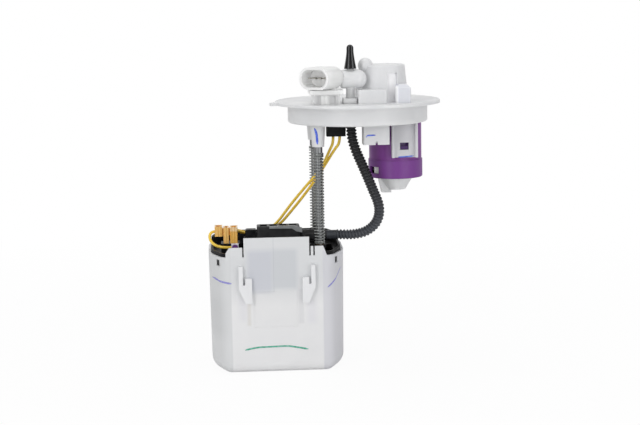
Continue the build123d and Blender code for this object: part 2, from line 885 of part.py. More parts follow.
with BuildPart() as tub_hollow:
    extrude(tub_plan(floor_z, tub_wall), amount=tub_height, taper=-tub_draft)
    fillet(tub_hollow.edges().group_by(Axis.Z)[0], tub_heel - tub_wall)

with BuildPart() as reservoir:
    extrude(tub_plan(tub_floor_z, 0), amount=tub_height, taper=-tub_draft)
    fillet(reservoir.edges().group_by(Axis.Z)[0], tub_heel)
    add(tub_hollow.part, mode=Mode.SUBTRACT)
    # the low rim round the sides and the back
    block(
        tub_x - tub_width, tub_x + tub_width, front_y + 2 * tub_wall, tub_depth,
        rim_z, mid_panel_z + 1, mode=Mode.SUBTRACT,
    )
    # the stepped front, with slots beside the middle panel that leave a snap finger
    with BuildSketch(upright(front_y + 2 * tub_wall)):
        with BuildLine():
            Polyline(
                (tub_x - tub_width, rim_z),
                (front_left, rim_z),
                (front_left, rim_z + step_height),
                (front_left + step_chamfer, side_panel_z),
                (mid_left, side_panel_z),
                (mid_left, mid_panel_z + 1),
                (tub_x - tub_width, mid_panel_z + 1),
                close=True,
            )
        make_face()
        with BuildLine():
            Polyline(
                (mid_right, mid_panel_z + 1),
                (mid_right, side_panel_z),
                (front_right - step_chamfer, side_panel_z),
                (front_right, rim_z),
                (tub_x + tub_width, rim_z),
                (tub_x + tub_width, mid_panel_z + 1),
                close=True,
            )
        make_face()
        slots = [mid_left - panel_slot / 2, mid_right + panel_slot / 2]
        slots.append(mid_right + finger_width + 1.5 * panel_slot)
        with Locations([(x, (rim_z + mid_panel_z) / 2) for x in slots]):
            Rectangle(panel_slot, mid_panel_z - rim_z)
    extrude(amount=3 * tub_wall, mode=Mode.SUBTRACT)
    # forked rails
    with BuildSketch(upright(front_y + tub_wall / 2)) as rails:
        with BuildLine():
            Polyline(
                (rail_middle + rail_tall_out, rail_tall_z),
                (rail_middle + rail_tall_in, rail_tall_z),
                (rail_middle + rail_tall_in, rail_notch_z),
                (rail_middle + rail_short_out, rail_notch_z),
                (rail_middle + rail_short_out, rail_short_z),
                (rail_middle + rail_short_in, rail_short_z),
                (rail_middle + rail_short_in, rail_end_z),
                (rail_middle + rail_short_out, rail_end_z),
                (rail_middle + rail_tall_out, rail_knee_z),
                close=True,
            )
        make_face()
        mirror(about=Plane(origin=(rail_middle, 0, 0), z_dir=(1, 0, 0)))
    extrude(amount=tub_wall / 2 + rail_height)
    # a shallow pocket between the rails
    block(
        pocket_left, pocket_right, front_y - 1, front_y + pocket_depth + draft * tub_height / 2,
        pocket_end_z, pocket_top_z, mode=Mode.SUBTRACT,
    )
    # hook windows in the bowed sides
    with Locations([window_place(side) for side in (-1, 1)]):
        Box(8 * tub_wall, hook_width, hook_height, mode=Mode.SUBTRACT)
    # stand for the pump, open on four sides for the fuel
    ring(pump_x, pump_y, stand_bore + tub_wall, stand_bore, floor_z, stand_top_z)
    for turn in (0, 90):
        with Locations(Location((pump_x, pump_y, floor_z), (0, 0, turn))):
            Box(
                3 * stand_bore, stand_window, stand_window_height,
                align=(Align.CENTER, Align.CENTER, Align.MIN), mode=Mode.SUBTRACT,
            )
    # passages under the foot valve
    with Locations((foot_valve_x, foot_valve_y, floor_z)):
        Hole(valve_stem_radius + press_gap, depth=tub_floor + 1)
        with PolarLocations(foot_valve_radius * 0.6, 4):
            Hole(foot_passage_radius, depth=tub_floor + 1)

# ---------------------------------------------------------------- carrier
# Black frame that drops into the tub: a deck with a rim, the cage that holds the pump, the
# sleeves for the guide rods and the header that the pump's connector stands on.
carrier_inset = tub_wall + loose_gap
isolator_radius = can_radius + isolator_wall + press_gap
cage_bore = isolator_radius + press_gap
bush_radius = bush_bore + bush_wall
catches = []
catch_half = hook_height / 2 - loose_gap
for side in (-1, 1):
    with BuildPart() as catch:
        add(tub_layer(hook_z - catch_half, hook_z + catch_half, hook_depth))
        with Locations(window_place(side)):
            Box(8 * tub_wall, hook_width - 2 * loose_gap, hook_height, mode=Mode.INTERSECT)
    catches.append(catch.part)

with BuildPart() as carrier:
    add(tub_layer(carrier_skirt_z, carrier_back_z, carrier_inset))
    add(catches)
    add(
        tub_layer(carrier_skirt_z, deck_low_z, carrier_inset + carrier_rim_wall),
        mode=Mode.SUBTRACT,
    )
    rim_step = draft * (deck_z - carrier_skirt_z)
    add(
        tub_layer(deck_z, carrier_back_z + 1, carrier_inset + carrier_rim_wall + rim_step),
        mode=Mode.SUBTRACT,
    )
    # the rim is lower at the front and the sides
    block(
        tub_x - tub_width, tub_x + tub_width, -tub_depth, rim_step_y,
        carrier_front_z, carrier_back_z + 1, mode=Mode.SUBTRACT,
    )
    # windows in the deck that let fuel in and out
    for left, right, front, back in deck_windows:
        block(left, right, front, back, deck_low_z - 1, deck_z + 1, mode=Mode.SUBTRACT)
    # cage with slots, and the opening for the pump's head
    post(pump_x, pump_y, cage_bore + cage_wall, cage_end_z, deck_z)
    post(pump_x, pump_y, cage_bore, cage_end_z, deck_low_z, mode=Mode.SUBTRACT)
    post(pump_x, pump_y, can_radius - 2, deck_low_z - 1, deck_z + 1, mode=Mode.SUBTRACT)
    for turn in (45, 135):
        with Locations(Location((pump_x, pump_y, cage_end_z), (0, 0, turn))):
            Box(
                3 * cage_bore, cage_slot, cage_slot_height,
                align=(Align.CENTER, Align.CENTER, Align.MIN), mode=Mode.SUBTRACT,
            )
    # rod sleeves, with webs to the rim
    for x, y in rod_ends:
        post(x, y, sleeve_radius, sleeve_end_z, spring_seat_z)
        post(x, y, bush_radius + press_gap, sleeve_end_z, spring_seat_z, mode=Mode.SUBTRACT)
    # header under the pump's connector
    block(header_left, header_right, header_front, header_back, deck_z, header_top_z)
    # saddle under the fuel line
    block(
        saddle_x - saddle_width / 2, saddle_x + saddle_width / 2, nipple_y - line_radius,
        nipple_y + line_radius, deck_z, line_z,
    )
    with Locations(Location((saddle_x, nipple_y, line_z), (0, 90, 0))):
        Cylinder(line_radius + press_gap, 2 * saddle_width, mode=Mode.SUBTRACT)
    # hole for the jet pump's feed tube
    post(feed_x, feed_y, feed_radius + loose_gap, deck_low_z - 1, deck_z + 1, mode=Mode.SUBTRACT)

with BuildPart() as guide_bushes:
    for x, y in rod_ends:
        ring(x, y, bush_radius, bush_bore, sleeve_end_z, spring_seat_z)

# ---------------------------------------------------------------- pump shell
# Steel can with a rubber isolator round it. An inlet cap and a flat plate make the impeller's
# chamber at the bottom, and the head on top holds the brushes and the outlet nipple.
cap_insert = can_bore - press_gap
inlet_top_z = can_end_z + inlet_height
chamber_z = inlet_top_z - impeller_thickness - 2 * impeller_gap
plate_top_z = inlet_top_z + plate_height
head_low_z = can_top_z - head_insert
head_top_z = can_top_z + head_height
shaft_low_z = chamber_z - shaft_tail
shaft_top_z = can_top_z - shaft_gap
shaft_bore = shaft_radius + slide_gap

with BuildPart() as pump_can:
    ring(pump_x, pump_y, can_radius, can_bore, can_end_z, can_top_z)

with BuildPart() as isolator:
    ring(pump_x, pump_y, isolator_radius, can_radius + press_gap, isolator_end_z, deck_low_z)

with BuildPart() as inlet_cap:
    post(pump_x, pump_y, can_radius, can_end_z - cap_rim, can_end_z)
    post(pump_x, pump_y, cap_insert, can_end_z, inlet_top_z)
    post(pump_x, pump_y, impeller_radius + loose_gap, chamber_z, inlet_top_z, mode=Mode.SUBTRACT)
    post(pump_x, pump_y, shaft_bore, shaft_low_z - loose_gap, chamber_z, mode=Mode.SUBTRACT)
    post(pump_x + port_offset, pump_y, inlet_neck_radius, inlet_neck_z, can_end_z)
    post(pump_x + port_offset, pump_y, inlet_bore, inlet_neck_z, chamber_z, mode=Mode.SUBTRACT)

with BuildPart() as pump_plate:
    post(pump_x, pump_y, cap_insert, inlet_top_z, plate_top_z)
    post(pump_x, pump_y, shaft_bore, inlet_top_z, plate_top_z, mode=Mode.SUBTRACT)
    post(pump_x - port_offset, pump_y, inlet_bore, inlet_top_z, plate_top_z, mode=Mode.SUBTRACT)

brush_z = commutator_top_z - commutator_length / 2
brush_in = commutator_radius + loose_gap
brush_out = brush_in + brush_length
spring_out = brush_out + brush_spring_length
with BuildPart() as pump_head:
    post(pump_x, pump_y, can_radius, can_top_z, head_top_z)
    ring(pump_x, pump_y, cap_insert, cap_insert - head_wall, head_low_z, can_top_z)
    post(pump_x, pump_y, 2 * shaft_radius, shaft_top_z - 6, can_top_z)
    post(pump_x, pump_y, shaft_bore, shaft_top_z - 6, shaft_top_z + loose_gap, mode=Mode.SUBTRACT)
    # brush tubes on both sides of the commutator
    for side in (-1, 1):
        near = pump_x + side * (brush_in + 1)
        far = pump_x + side * (spring_out + brush_wall)
        block(
            min(near, far), max(near, far), pump_y - brush_width / 2 - brush_wall,
            pump_y + brush_width / 2 + brush_wall, brush_z - brush_width / 2 - brush_wall, can_top_z,
        )
        far = pump_x + side * (spring_out + press_gap)
        near = pump_x + side * brush_in
        block(
            min(near, far), max(near, far), pump_y - brush_width / 2 - press_gap,
            pump_y + brush_width / 2 + press_gap, brush_z - brush_width / 2 - press_gap,
            brush_z + brush_width / 2 + press_gap, mode=Mode.SUBTRACT,
        )
    post(pump_x, nipple_y, pump_nipple_radius, head_top_z, line_joint_z)
    post(pump_x, nipple_y, pump_nipple_bore, can_top_z, line_joint_z, mode=Mode.SUBTRACT)

with BuildPart() as brushes:
    for side in (-1, 1):
        with Locations((pump_x + side * (brush_in + brush_out) / 2, pump_y, brush_z)):
            Box(brush_out - brush_in, brush_width, brush_width)
with BuildPart() as brush_springs:
    for side in (-1, 1):
        middle = pump_x + side * (brush_out + spring_out) / 2
        with Locations(Location((middle, pump_y, brush_z), (0, 90, 0))):
            Cylinder(brush_width / 3, spring_out - brush_out)

with BuildPart() as magnets:
    ring(pump_x, pump_y, cap_insert, cap_insert - magnet_wall, magnet_end_z, magnet_top_z)
    with Locations((pump_x, pump_y, magnet_end_z)):
        Box(
            magnet_split, 3 * can_radius, magnet_top_z - magnet_end_z,
            align=(Align.CENTER, Align.CENTER, Align.MIN), mode=Mode.SUBTRACT,
        )

# ---------------------------------------------------------------- armature
# The rotor: a steel shaft with a slotted core, a commutator and the regenerative impeller,
# whose vanes stand between notches in its rim.
with BuildPart() as motor_shaft:
    post(pump_x, pump_y, shaft_radius, shaft_low_z, shaft_top_z)
    chamfer(motor_shaft.edges().filter_by(GeomType.CIRCLE), 0.3)

with BuildPart() as armature_core:
    with BuildSketch(level(core_top_z - core_length)):
        with Locations(pump):
            Circle(core_radius)
            with PolarLocations(core_radius - slot_depth / 2, core_slots):
                Rectangle(slot_depth, slot_mouth, mode=Mode.SUBTRACT)
            with PolarLocations(core_radius - slot_depth, core_slots):
                Circle(slot_mouth, mode=Mode.SUBTRACT)
            Circle(shaft_radius + press_gap, mode=Mode.SUBTRACT)
    extrude(amount=core_length)

with BuildPart() as commutator:
    with BuildSketch(level(commutator_top_z - commutator_length)):
        with Locations(pump):
            Circle(commutator_radius)
            with PolarLocations(commutator_radius, core_slots):
                Rectangle(1.6, 0.5, mode=Mode.SUBTRACT)
            Circle(shaft_radius + press_gap, mode=Mode.SUBTRACT)
    extrude(amount=commutator_length)

with BuildPart() as impeller:
    with BuildSketch(level(chamber_z + impeller_gap)):
        with Locations(pump):
            Circle(impeller_radius)
            with PolarLocations(impeller_radius, impeller_vanes):
                Rectangle(2 * vane_depth, vane_gap, mode=Mode.SUBTRACT)
            Circle(shaft_radius + press_gap, mode=Mode.SUBTRACT)
    extrude(amount=impeller_thickness)

# ---------------------------------------------------------------- fuel line
# Black pipe across the top of the reservoir. The pump's nipple feeds it from below through
# the check valve, a valve block closes its left end, and the hose's connector is on its right.
chamber_radius = poppet_radius + loose_gap
poppet_z = line_joint_z + poppet_gap
with BuildPart() as fuel_line:
    with BuildSketch(Plane.YZ.offset(line_left)):
        with Locations((nipple_y, line_z)):
            Circle(line_radius)
    extrude(amount=line_right - line_left)
    post(pump_x, nipple_y, line_radius, line_joint_z, line_z)
    block(
        line_left - valve_block, line_left + 0.5, nipple_y - valve_block / 2,
        nipple_y + valve_block / 2, line_z - line_radius, line_z + line_radius + 2.2,
    )
    fillet(fuel_line.faces().sort_by(Axis.X)[0].edges(), 1.8)
    post(feed_x, feed_y, feed_radius + 1.4, line_z - line_radius - 2, line_z)
    with BuildSketch(Plane.YZ.offset(line_left - valve_block / 2)):
        with Locations((nipple_y, line_z)):
            Circle(line_bore)
    extrude(amount=line_right - line_left + valve_block / 2, mode=Mode.SUBTRACT)
    post(pump_x, nipple_y, chamber_radius, line_joint_z, line_z, mode=Mode.SUBTRACT)
    post(
        feed_x, feed_y, feed_radius + press_gap, line_z - line_radius - 2, line_z - 1,
        mode=Mode.SUBTRACT,
    )

with BuildPart() as check_poppet:
    post(pump_x, nipple_y, poppet_radius, poppet_z, poppet_z + 2)
    cone(pump_x, nipple_y, poppet_radius, poppet_radius / 2, poppet_z + 2, poppet_z + poppet_length)
spring_top_z = line_z + line_bore * 0.8
with BuildPart() as check_spring:
    post(pump_x, nipple_y, poppet_radius / 2, poppet_z + poppet_length, spring_top_z)

# Ribbed black cover that clips over the line, and the grey arm on its front.
with BuildPart() as line_cover:
    block(lid_left, lid_right, lid_front, lid_back, line_z, lid_top_z)
    fillet(line_cover.edges().filter_by(Axis.Z), 2.0)
    fillet(line_cover.faces().sort_by(Axis.Z)[-1].edges(), 0.8)
    block(
        lid_left + lid_wall, lid_right - lid_wall, lid_front + lid_wall, lid_back - lid_wall,
        line_z, line_z + line_radius + loose_gap, mode=Mode.SUBTRACT,
    )
    with Locations(Location((tub_x, nipple_y, line_z), (0, 90, 0))):
        Cylinder(line_radius + press_gap, tub_width, mode=Mode.SUBTRACT)
    pitch = (lid_right - lid_left - 2 * lid_wall) / lid_pockets
    for index in range(lid_pockets):
        pocket_x = lid_left + lid_wall + (index + 0.5) * pitch
        block(
            pocket_x - pitch * 0.36, pocket_x + pitch * 0.36, lid_front + lid_wall,
            lid_back - lid_wall, lid_top_z - lid_pocket_depth, lid_top_z + 1, mode=Mode.SUBTRACT,
        )

with BuildPart() as cover_arm:
    with BuildSketch(upright(lid_front)):
        with BuildLine():
            Polyline(
                (cover_arm_left, lid_top_z - 1.4),
                (cover_arm_left, lid_top_z + 0.4),
                (cover_arm_right - 7, lid_top_z + 0.8),
                (cover_arm_right, lid_top_z - 1.5),
                (cover_arm_right, lid_top_z - 5.5),
                (cover_arm_right - 5, lid_top_z - 4.5),
                (cover_arm_right - 9, lid_top_z - 1.8),
                close=True,
            )
        make_face()
    extrude(amount=cover_arm_width)

# Black push-on connector of the hose, with its two release tabs.
with BuildPart() as hose_connector:
    with BuildSketch(Plane.YZ.offset(line_right)):
        with Locations((nipple_y, line_z)):
            Circle(quick_radius)
    extrude(amount=quick_body)
    with BuildSketch(Plane.YZ.offset(line_right + quick_body)):
        with Locations((nipple_y, line_z)):
            Circle(hose_diameter / 2)
    extrude(amount=quick_length - quick_body)
    with Locations((line_right + quick_body / 2, nipple_y, line_z)):
        Box(quick_body * 0.6, 2 * (quick_radius + quick_tab_reach), quick_tab_height)
    with BuildSketch(Plane.YZ.offset(line_right)):
        with Locations((nipple_y, line_z)):
            Circle(line_bore)
    extrude(amount=quick_length, mode=Mode.SUBTRACT)
    fillet(hose_connector.edges().filter_by(Axis.X), 0.8)

# ---------------------------------------------------------------- bottom of the reservoir
with BuildPart() as strainer:
    post(pump_x, pump_y, strainer_radius, floor_z + loose_gap, floor_z + loose_gap + strainer_height)
    fillet(strainer.edges(), 1.5)
    ring(
        pump_x + port_offset, pump_y, inlet_neck_radius, inlet_bore,
        floor_z + loose_gap + strainer_height - 1, inlet_neck_z,
    )

with BuildPart() as jet_pump:
    with BuildSketch(Plane.YZ.offset(feed_x + feed_radius + 1.2)):
        with Locations((feed_y, jet_z)):
            Circle(jet_radius)
    extrude(amount=-jet_length)
    fillet(jet_pump.edges(), 0.6)
    block(
        feed_x - jet_length / 2, feed_x, feed_y - jet_radius * 0.6, feed_y + jet_radius * 0.6,
        floor_z + loose_gap, jet_z,
    )
    with BuildSketch(Plane.YZ.offset(feed_x)):
        with Locations((feed_y, jet_z)):
            Circle(jet_bore)
    extrude(amount=-jet_length, mode=Mode.SUBTRACT)
    ring(feed_x, feed_y, feed_radius + 1.2, feed_radius + press_gap, jet_z, jet_z + jet_radius + 3)

with BuildPart() as feed_tube:
    ring(feed_x, feed_y, feed_radius, feed_radius - 0.8, jet_z, line_z - 1)

with BuildPart() as foot_valve:
    post(foot_valve_x, foot_valve_y, valve_stem_radius, tub_floor_z + 0.4, floor_z + loose_gap)
    cone(
        foot_valve_x, foot_valve_y, foot_valve_radius, foot_valve_radius / 3,
        floor_z + 0.02, floor_z + 1.6,
    )

# ---------------------------------------------------------------- pump connector
# Amber connector in three towers on the header, with a purple lock in front.
with BuildPart() as pump_connector:
    for left, right, low, high in amber_towers:
        block(left, right, amber_front, amber_back, low, high)
    fillet(pump_connector.edges().filter_by(Axis.Z), 0.9)
    block(
        amber_towers[0][0] + 3, amber_towers[-1][1] - 2, amber_front + 2.5, amber_back - 2.5,
        header_top_z + 7, amber_top_z - 2.2,
    )
    for left, right, low, high in amber_towers:
        block(
            left + 1.4, right - 1.4, amber_front + 1.8, amber_back - 1.8,
            high - 2.5, high + 1, mode=Mode.SUBTRACT,
        )

with BuildPart() as connector_lock:
    block(lock_left, lock_right, lock_front, header_front - 0.02, lock_end_z, header_top_z + 0.4)
    fillet(connector_lock.faces().sort_by(Axis.Y)[0].edges(), 0.6)

# ---------------------------------------------------------------- hose and wires
# Round tubes on hand-set routes. Every corner gets the largest arc that its two runs allow.


def route_tube(name, points, diameter):
    """A round tube whose path runs straight between tangent arcs."""
    points = [Vector(*p) for p in points]
    radii = []
    for before, here, after in zip(points, points[1:], points[2:]):
        turn = radians((here - before).get_angle(after - here))
        shorter = min((here - before).length, (after - here).length)
        radii.append(0.45 * shorter / tan(turn / 2))
    with BuildPart() as tube:
        with BuildLine() as path:
            FilletPolyline(*points, radius=radii)
        with BuildSketch(Plane(origin=points[0], z_dir=points[1] - points[0])):
            Circle(diameter / 2)
        sweep()
    length = path.wires()[0].length
    share = tube.part.volume / (pi * diameter**2 / 4 * length)
    print(f"{name}: {length:.1f} mm, volume share {share:.4f}, radii", [round(r, 1) for r in radii])
    return tube


supply_hose = route_tube("supply_hose", hose_route, hose_diameter)
wire_left = route_tube("wire_left", wire_left_route, wire_diameter)
wire_right = route_tube("wire_right", wire_right_route, wire_diameter)
jumper_wire = route_tube("jumper_wire", jumper_route, wire_diameter)

# ---------------------------------------------------------------- write the pieces
pieces = {
    "flange": flange,
    "connector_shell": connector_shell,
    "terminals": terminals,
    "harness_plug": harness_plug,
    "supply_fitting": supply_fitting,
    "shipping_cap": shipping_cap,
    "vapour_tower": vapour_tower,
    "regulator_case": regulator_case,
    "pressure_regulator": pressure_regulator,
    "vent_valve_case": vent_valve_case,
    "vent_valve_nozzle": vent_valve_nozzle,
    "vent_float": vent_float,
    **rod_pieces,
    "rod_collars": rod_collars,
    "rod_retainers": rod_retainers,
    "reservoir": reservoir,
    "carrier": carrier,
    "guide_bushes": guide_bushes,
    "pump_can": pump_can,
    "isolator": isolator,
    "inlet_cap": inlet_cap,
    "pump_plate": pump_plate,
    "pump_head": pump_head,
    "brushes": brushes,
    "brush_springs": brush_springs,
    "magnets": magnets,
    "motor_shaft": motor_shaft,
    "armature_core": armature_core,
    "commutator": commutator,
    "impeller": impeller,
    "fuel_line": fuel_line,
    "check_poppet": check_poppet,
    "check_spring": check_spring,
    "line_cover": line_cover,
    "cover_arm": cover_arm,
    "hose_connector": hose_connector,
    "strainer": strainer,
    "jet_pump": jet_pump,
    "feed_tube": feed_tube,
    "foot_valve": foot_valve,
    "pump_connector": pump_connector,
    "connector_lock": connector_lock,
    "supply_hose": supply_hose,
    "wire_left": wire_left,
    "wire_right": wire_right,
    "jumper_wire": jumper_wire,
}
for label, piece in pieces.items():
    piece.part.label = label
    export_step(piece.part, f"parts/{label}.step")
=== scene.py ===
import math

import bmesh
import bpy
from mathutils import Matrix, Vector


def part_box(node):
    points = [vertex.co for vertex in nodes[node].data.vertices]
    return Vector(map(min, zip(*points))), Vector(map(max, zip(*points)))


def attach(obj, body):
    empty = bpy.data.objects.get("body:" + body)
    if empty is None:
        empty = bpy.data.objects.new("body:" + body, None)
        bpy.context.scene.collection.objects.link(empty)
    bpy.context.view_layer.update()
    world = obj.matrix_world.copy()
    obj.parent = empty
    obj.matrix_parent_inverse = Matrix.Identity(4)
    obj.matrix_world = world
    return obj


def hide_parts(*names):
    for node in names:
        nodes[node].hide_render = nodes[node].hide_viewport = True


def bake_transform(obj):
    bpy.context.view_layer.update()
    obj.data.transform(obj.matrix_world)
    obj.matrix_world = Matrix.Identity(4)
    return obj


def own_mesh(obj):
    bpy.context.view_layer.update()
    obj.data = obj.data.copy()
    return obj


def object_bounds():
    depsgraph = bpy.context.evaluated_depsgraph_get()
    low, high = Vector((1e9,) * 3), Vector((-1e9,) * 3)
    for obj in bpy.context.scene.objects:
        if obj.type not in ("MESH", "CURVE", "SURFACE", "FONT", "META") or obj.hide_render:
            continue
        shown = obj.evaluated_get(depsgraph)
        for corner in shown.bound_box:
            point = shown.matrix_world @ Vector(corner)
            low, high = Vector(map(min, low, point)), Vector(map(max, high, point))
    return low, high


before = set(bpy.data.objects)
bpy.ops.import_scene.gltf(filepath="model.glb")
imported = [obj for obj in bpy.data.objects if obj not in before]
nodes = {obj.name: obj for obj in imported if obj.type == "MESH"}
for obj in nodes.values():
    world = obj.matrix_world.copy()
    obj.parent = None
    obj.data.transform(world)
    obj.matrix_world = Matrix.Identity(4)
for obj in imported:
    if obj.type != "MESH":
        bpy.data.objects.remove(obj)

cad_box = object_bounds()

# ---------------------------------------------------------------- camera
# A long lens at the front of the module, turned a little to the right and looking slightly
# down on the flange, so that the reservoir's front and the flange's top both show.
camera_turn = math.radians(-3.5)
camera_dip = math.radians(8.605)
camera_roll = math.radians(0.966)
camera_place = Vector((-0.11425, -1.2976, 0.0989))
camera_lens = 82.4
camera_sight = 20
ahead = Vector((
    -math.sin(camera_turn) * math.cos(camera_dip),
    math.cos(camera_turn) * math.cos(camera_dip),
    -math.sin(camera_dip),
))
level_right = Vector((math.cos(camera_turn), math.sin(camera_turn), 0))
level_up = level_right.cross(ahead)
right = level_right * math.cos(camera_roll) - level_up * math.sin(camera_roll)
up = level_up * math.cos(camera_roll) + level_right * math.sin(camera_roll)
camera = bpy.data.objects.new("camera", bpy.data.cameras.new("camera"))
camera.matrix_world = Matrix.Translation(camera_place) @ Matrix((right, up, -ahead)).transposed().to_4x4()
camera.data.lens = camera_lens
camera.data.clip_end = camera_sight
bpy.context.collection.objects.link(camera)
bpy.context.scene.camera = camera
bpy.context.scene.view_settings.view_transform = "Standard"

# ---------------------------------------------------------------- floor and light
# A white sweep for the module to stand on, which fades to plain white away from it, and soft
# light from above, the front and both sides.
floor_size = 8
floor_middle = -0.076
floor_gap = 0.00005
floor_z = cad_box[0][2] - floor_gap
sweep_near = 0.10
sweep_far = 0.75
sweep_shine = 0.94
room_strength = 0.54
backdrop_strength = 1.0
lamps_aim = Vector((-0.04, 0, -0.09))
bpy.ops.mesh.primitive_plane_add(size=floor_size, location=(floor_middle, 0, floor_z))
floor = bpy.context.object
floor.name = "floor"
white = bpy.data.materials.new("white sweep")
white.use_nodes = True
tree = white.node_tree
matt = tree.nodes["Principled BSDF"]
matt.inputs["Base Color"].default_value = (0.9, 0.9, 0.9, 1)
matt.inputs["Roughness"].default_value = 0.9
shine = tree.nodes.new("ShaderNodeEmission")
seen = tree.nodes.new("ShaderNodeLightPath")
mix = tree.nodes.new("ShaderNodeMixShader")
place = tree.nodes.new("ShaderNodeTexCoord")
away = tree.nodes.new("ShaderNodeVectorMath")
away.operation = "LENGTH"
fade = tree.nodes.new("ShaderNodeMapRange")
fade.inputs["From Min"].default_value = sweep_near
fade.inputs["From Max"].default_value = sweep_far
fade.inputs["To Min"].default_value = sweep_shine
share = tree.nodes.new("ShaderNodeMath")
share.operation = "MULTIPLY"
tree.links.new(place.outputs["Object"], away.inputs[0])
tree.links.new(away.outputs["Value"], fade.inputs["Value"])
tree.links.new(fade.outputs["Result"], share.inputs[0])
tree.links.new(seen.outputs["Is Camera Ray"], share.inputs[1])
tree.links.new(share.outputs["Value"], mix.inputs["Fac"])
tree.links.new(matt.outputs["BSDF"], mix.inputs[1])
tree.links.new(shine.outputs["Emission"], mix.inputs[2])
tree.links.new(mix.outputs["Shader"], tree.nodes["Material Output"].inputs["Surface"])
floor.data.materials.append(white)

world = bpy.data.worlds.new("studio")
bpy.context.scene.world = world
world.use_nodes = True
tree = world.node_tree
room = tree.nodes["Background"]
room.inputs["Color"].default_value = (1, 1, 1, 1)
room.inputs["Strength"].default_value = room_strength
backdrop = tree.nodes.new("ShaderNodeBackground")
backdrop.inputs["Color"].default_value = (1, 1, 1, 1)
backdrop.inputs["Strength"].default_value = backdrop_strength
seen = tree.nodes.new("ShaderNodeLightPath")
camera_or_gloss = tree.nodes.new("ShaderNodeMath")
camera_or_gloss.operation = "MAXIMUM"
or_through = tree.nodes.new("ShaderNodeMath")
or_through.operation = "MAXIMUM"
mix = tree.nodes.new("ShaderNodeMixShader")
tree.links.new(seen.outputs["Is Camera Ray"], camera_or_gloss.inputs[0])
tree.links.new(seen.outputs["Is Glossy Ray"], camera_or_gloss.inputs[1])
tree.links.new(camera_or_gloss.outputs["Value"], or_through.inputs[0])
tree.links.new(seen.outputs["Is Transmission Ray"], or_through.inputs[1])
tree.links.new(or_through.outputs["Value"], mix.inputs["Fac"])
tree.links.new(room.outputs["Background"], mix.inputs[1])
tree.links.new(backdrop.outputs["Background"], mix.inputs[2])
tree.links.new(mix.outputs["Shader"], tree.nodes["World Output"].inputs["Surface"])

for lamp_name, place, wide, tall, power in (
    ("front left strip", (-0.9, -1.3, 0.4), 0.35, 1.2, 7.0),
    ("front right lamp", (0.9, -1.2, 0.0), 0.8, 1.0, 5.5),
    ("top lamp", (-0.1, 0.1, 1.2), 1.0, 1.0, 4.0),
):
    lamp = bpy.data.objects.new(lamp_name, bpy.data.lights.new(lamp_name, "AREA"))
    lamp.data.shape = "RECTANGLE"
    lamp.data.size = wide
    lamp.data.size_y = tall
    lamp.data.energy = power
    lamp.location = place
    lamp.rotation_euler = (lamps_aim - Vector(place)).to_track_quat("-Z", "Y").to_euler()
    bpy.context.collection.objects.link(lamp)

# ---------------------------------------------------------------- flange
# White acetal moulding that closes the tank's opening, where a lock ring presses it on its seal.
# The plate, the skirt, both rod bosses and the clip arm are one piece.


def moulded_surface():
    """Flow marks, patches and fine grain that a moulded piece has, as a shader group."""
    group = bpy.data.node_groups.new("moulded surface", "ShaderNodeTree")
    face = group.interface
    for name, kind, value in (
        ("Colour", "NodeSocketColor", (0.8, 0.8, 0.8, 1)),
        ("Shade", "NodeSocketColor", (0.7, 0.7, 0.7, 1)),
        ("Patch scale", "NodeSocketFloat", 40.0),
        ("Grain scale", "NodeSocketFloat", 2500.0),
        ("Smooth", "NodeSocketFloat", 0.35),
        ("Rough", "NodeSocketFloat", 0.5),
    ):
        socket = face.new_socket(name=name, in_out="INPUT", socket_type=kind)
        socket.default_value = value
    for name, kind in (
        ("Colour", "NodeSocketColor"),
        ("Roughness", "NodeSocketFloat"),
        ("Height", "NodeSocketFloat"),
    ):
        face.new_socket(name=name, in_out="OUTPUT", socket_type=kind)
    add, link = group.nodes.new, group.links.new
    given, out = add("NodeGroupInput"), add("NodeGroupOutput")
    place = add("ShaderNodeTexCoord")
    patch = add("ShaderNodeTexNoise")
    patch.inputs["Detail"].default_value = 4
    patch.inputs["Roughness"].default_value = 0.6
    grain = add("ShaderNodeTexNoise")
    grain.inputs["Detail"].default_value = 3
    spread = add("ShaderNodeMapRange")
    spread.inputs["From Min"].default_value = 0.35
    spread.inputs["From Max"].default_value = 0.65
    mix = add("ShaderNodeMix")
    mix.data_type = "RGBA"
    gloss = add("ShaderNodeMix")
    for texture, scale in ((patch, "Patch scale"), (grain, "Grain scale")):
        link(place.outputs["Object"], texture.inputs["Vector"])
        link(given.outputs[scale], texture.inputs["Scale"])
    link(patch.outputs["Fac"], spread.inputs["Value"])
    link(spread.outputs["Result"], mix.inputs["Factor"])
    link(given.outputs["Colour"], mix.inputs["A"])
    link(given.outputs["Shade"], mix.inputs["B"])
    link(spread.outputs["Result"], gloss.inputs["Factor"])
    link(given.outputs["Smooth"], gloss.inputs["A"])
    link(given.outputs["Rough"], gloss.inputs["B"])
    link(mix.outputs["Result"], out.inputs["Colour"])
    link(gloss.outputs["Result"], out.inputs["Roughness"])
    link(grain.outputs["Fac"], out.inputs["Height"])
    return group


surface_group = moulded_surface()


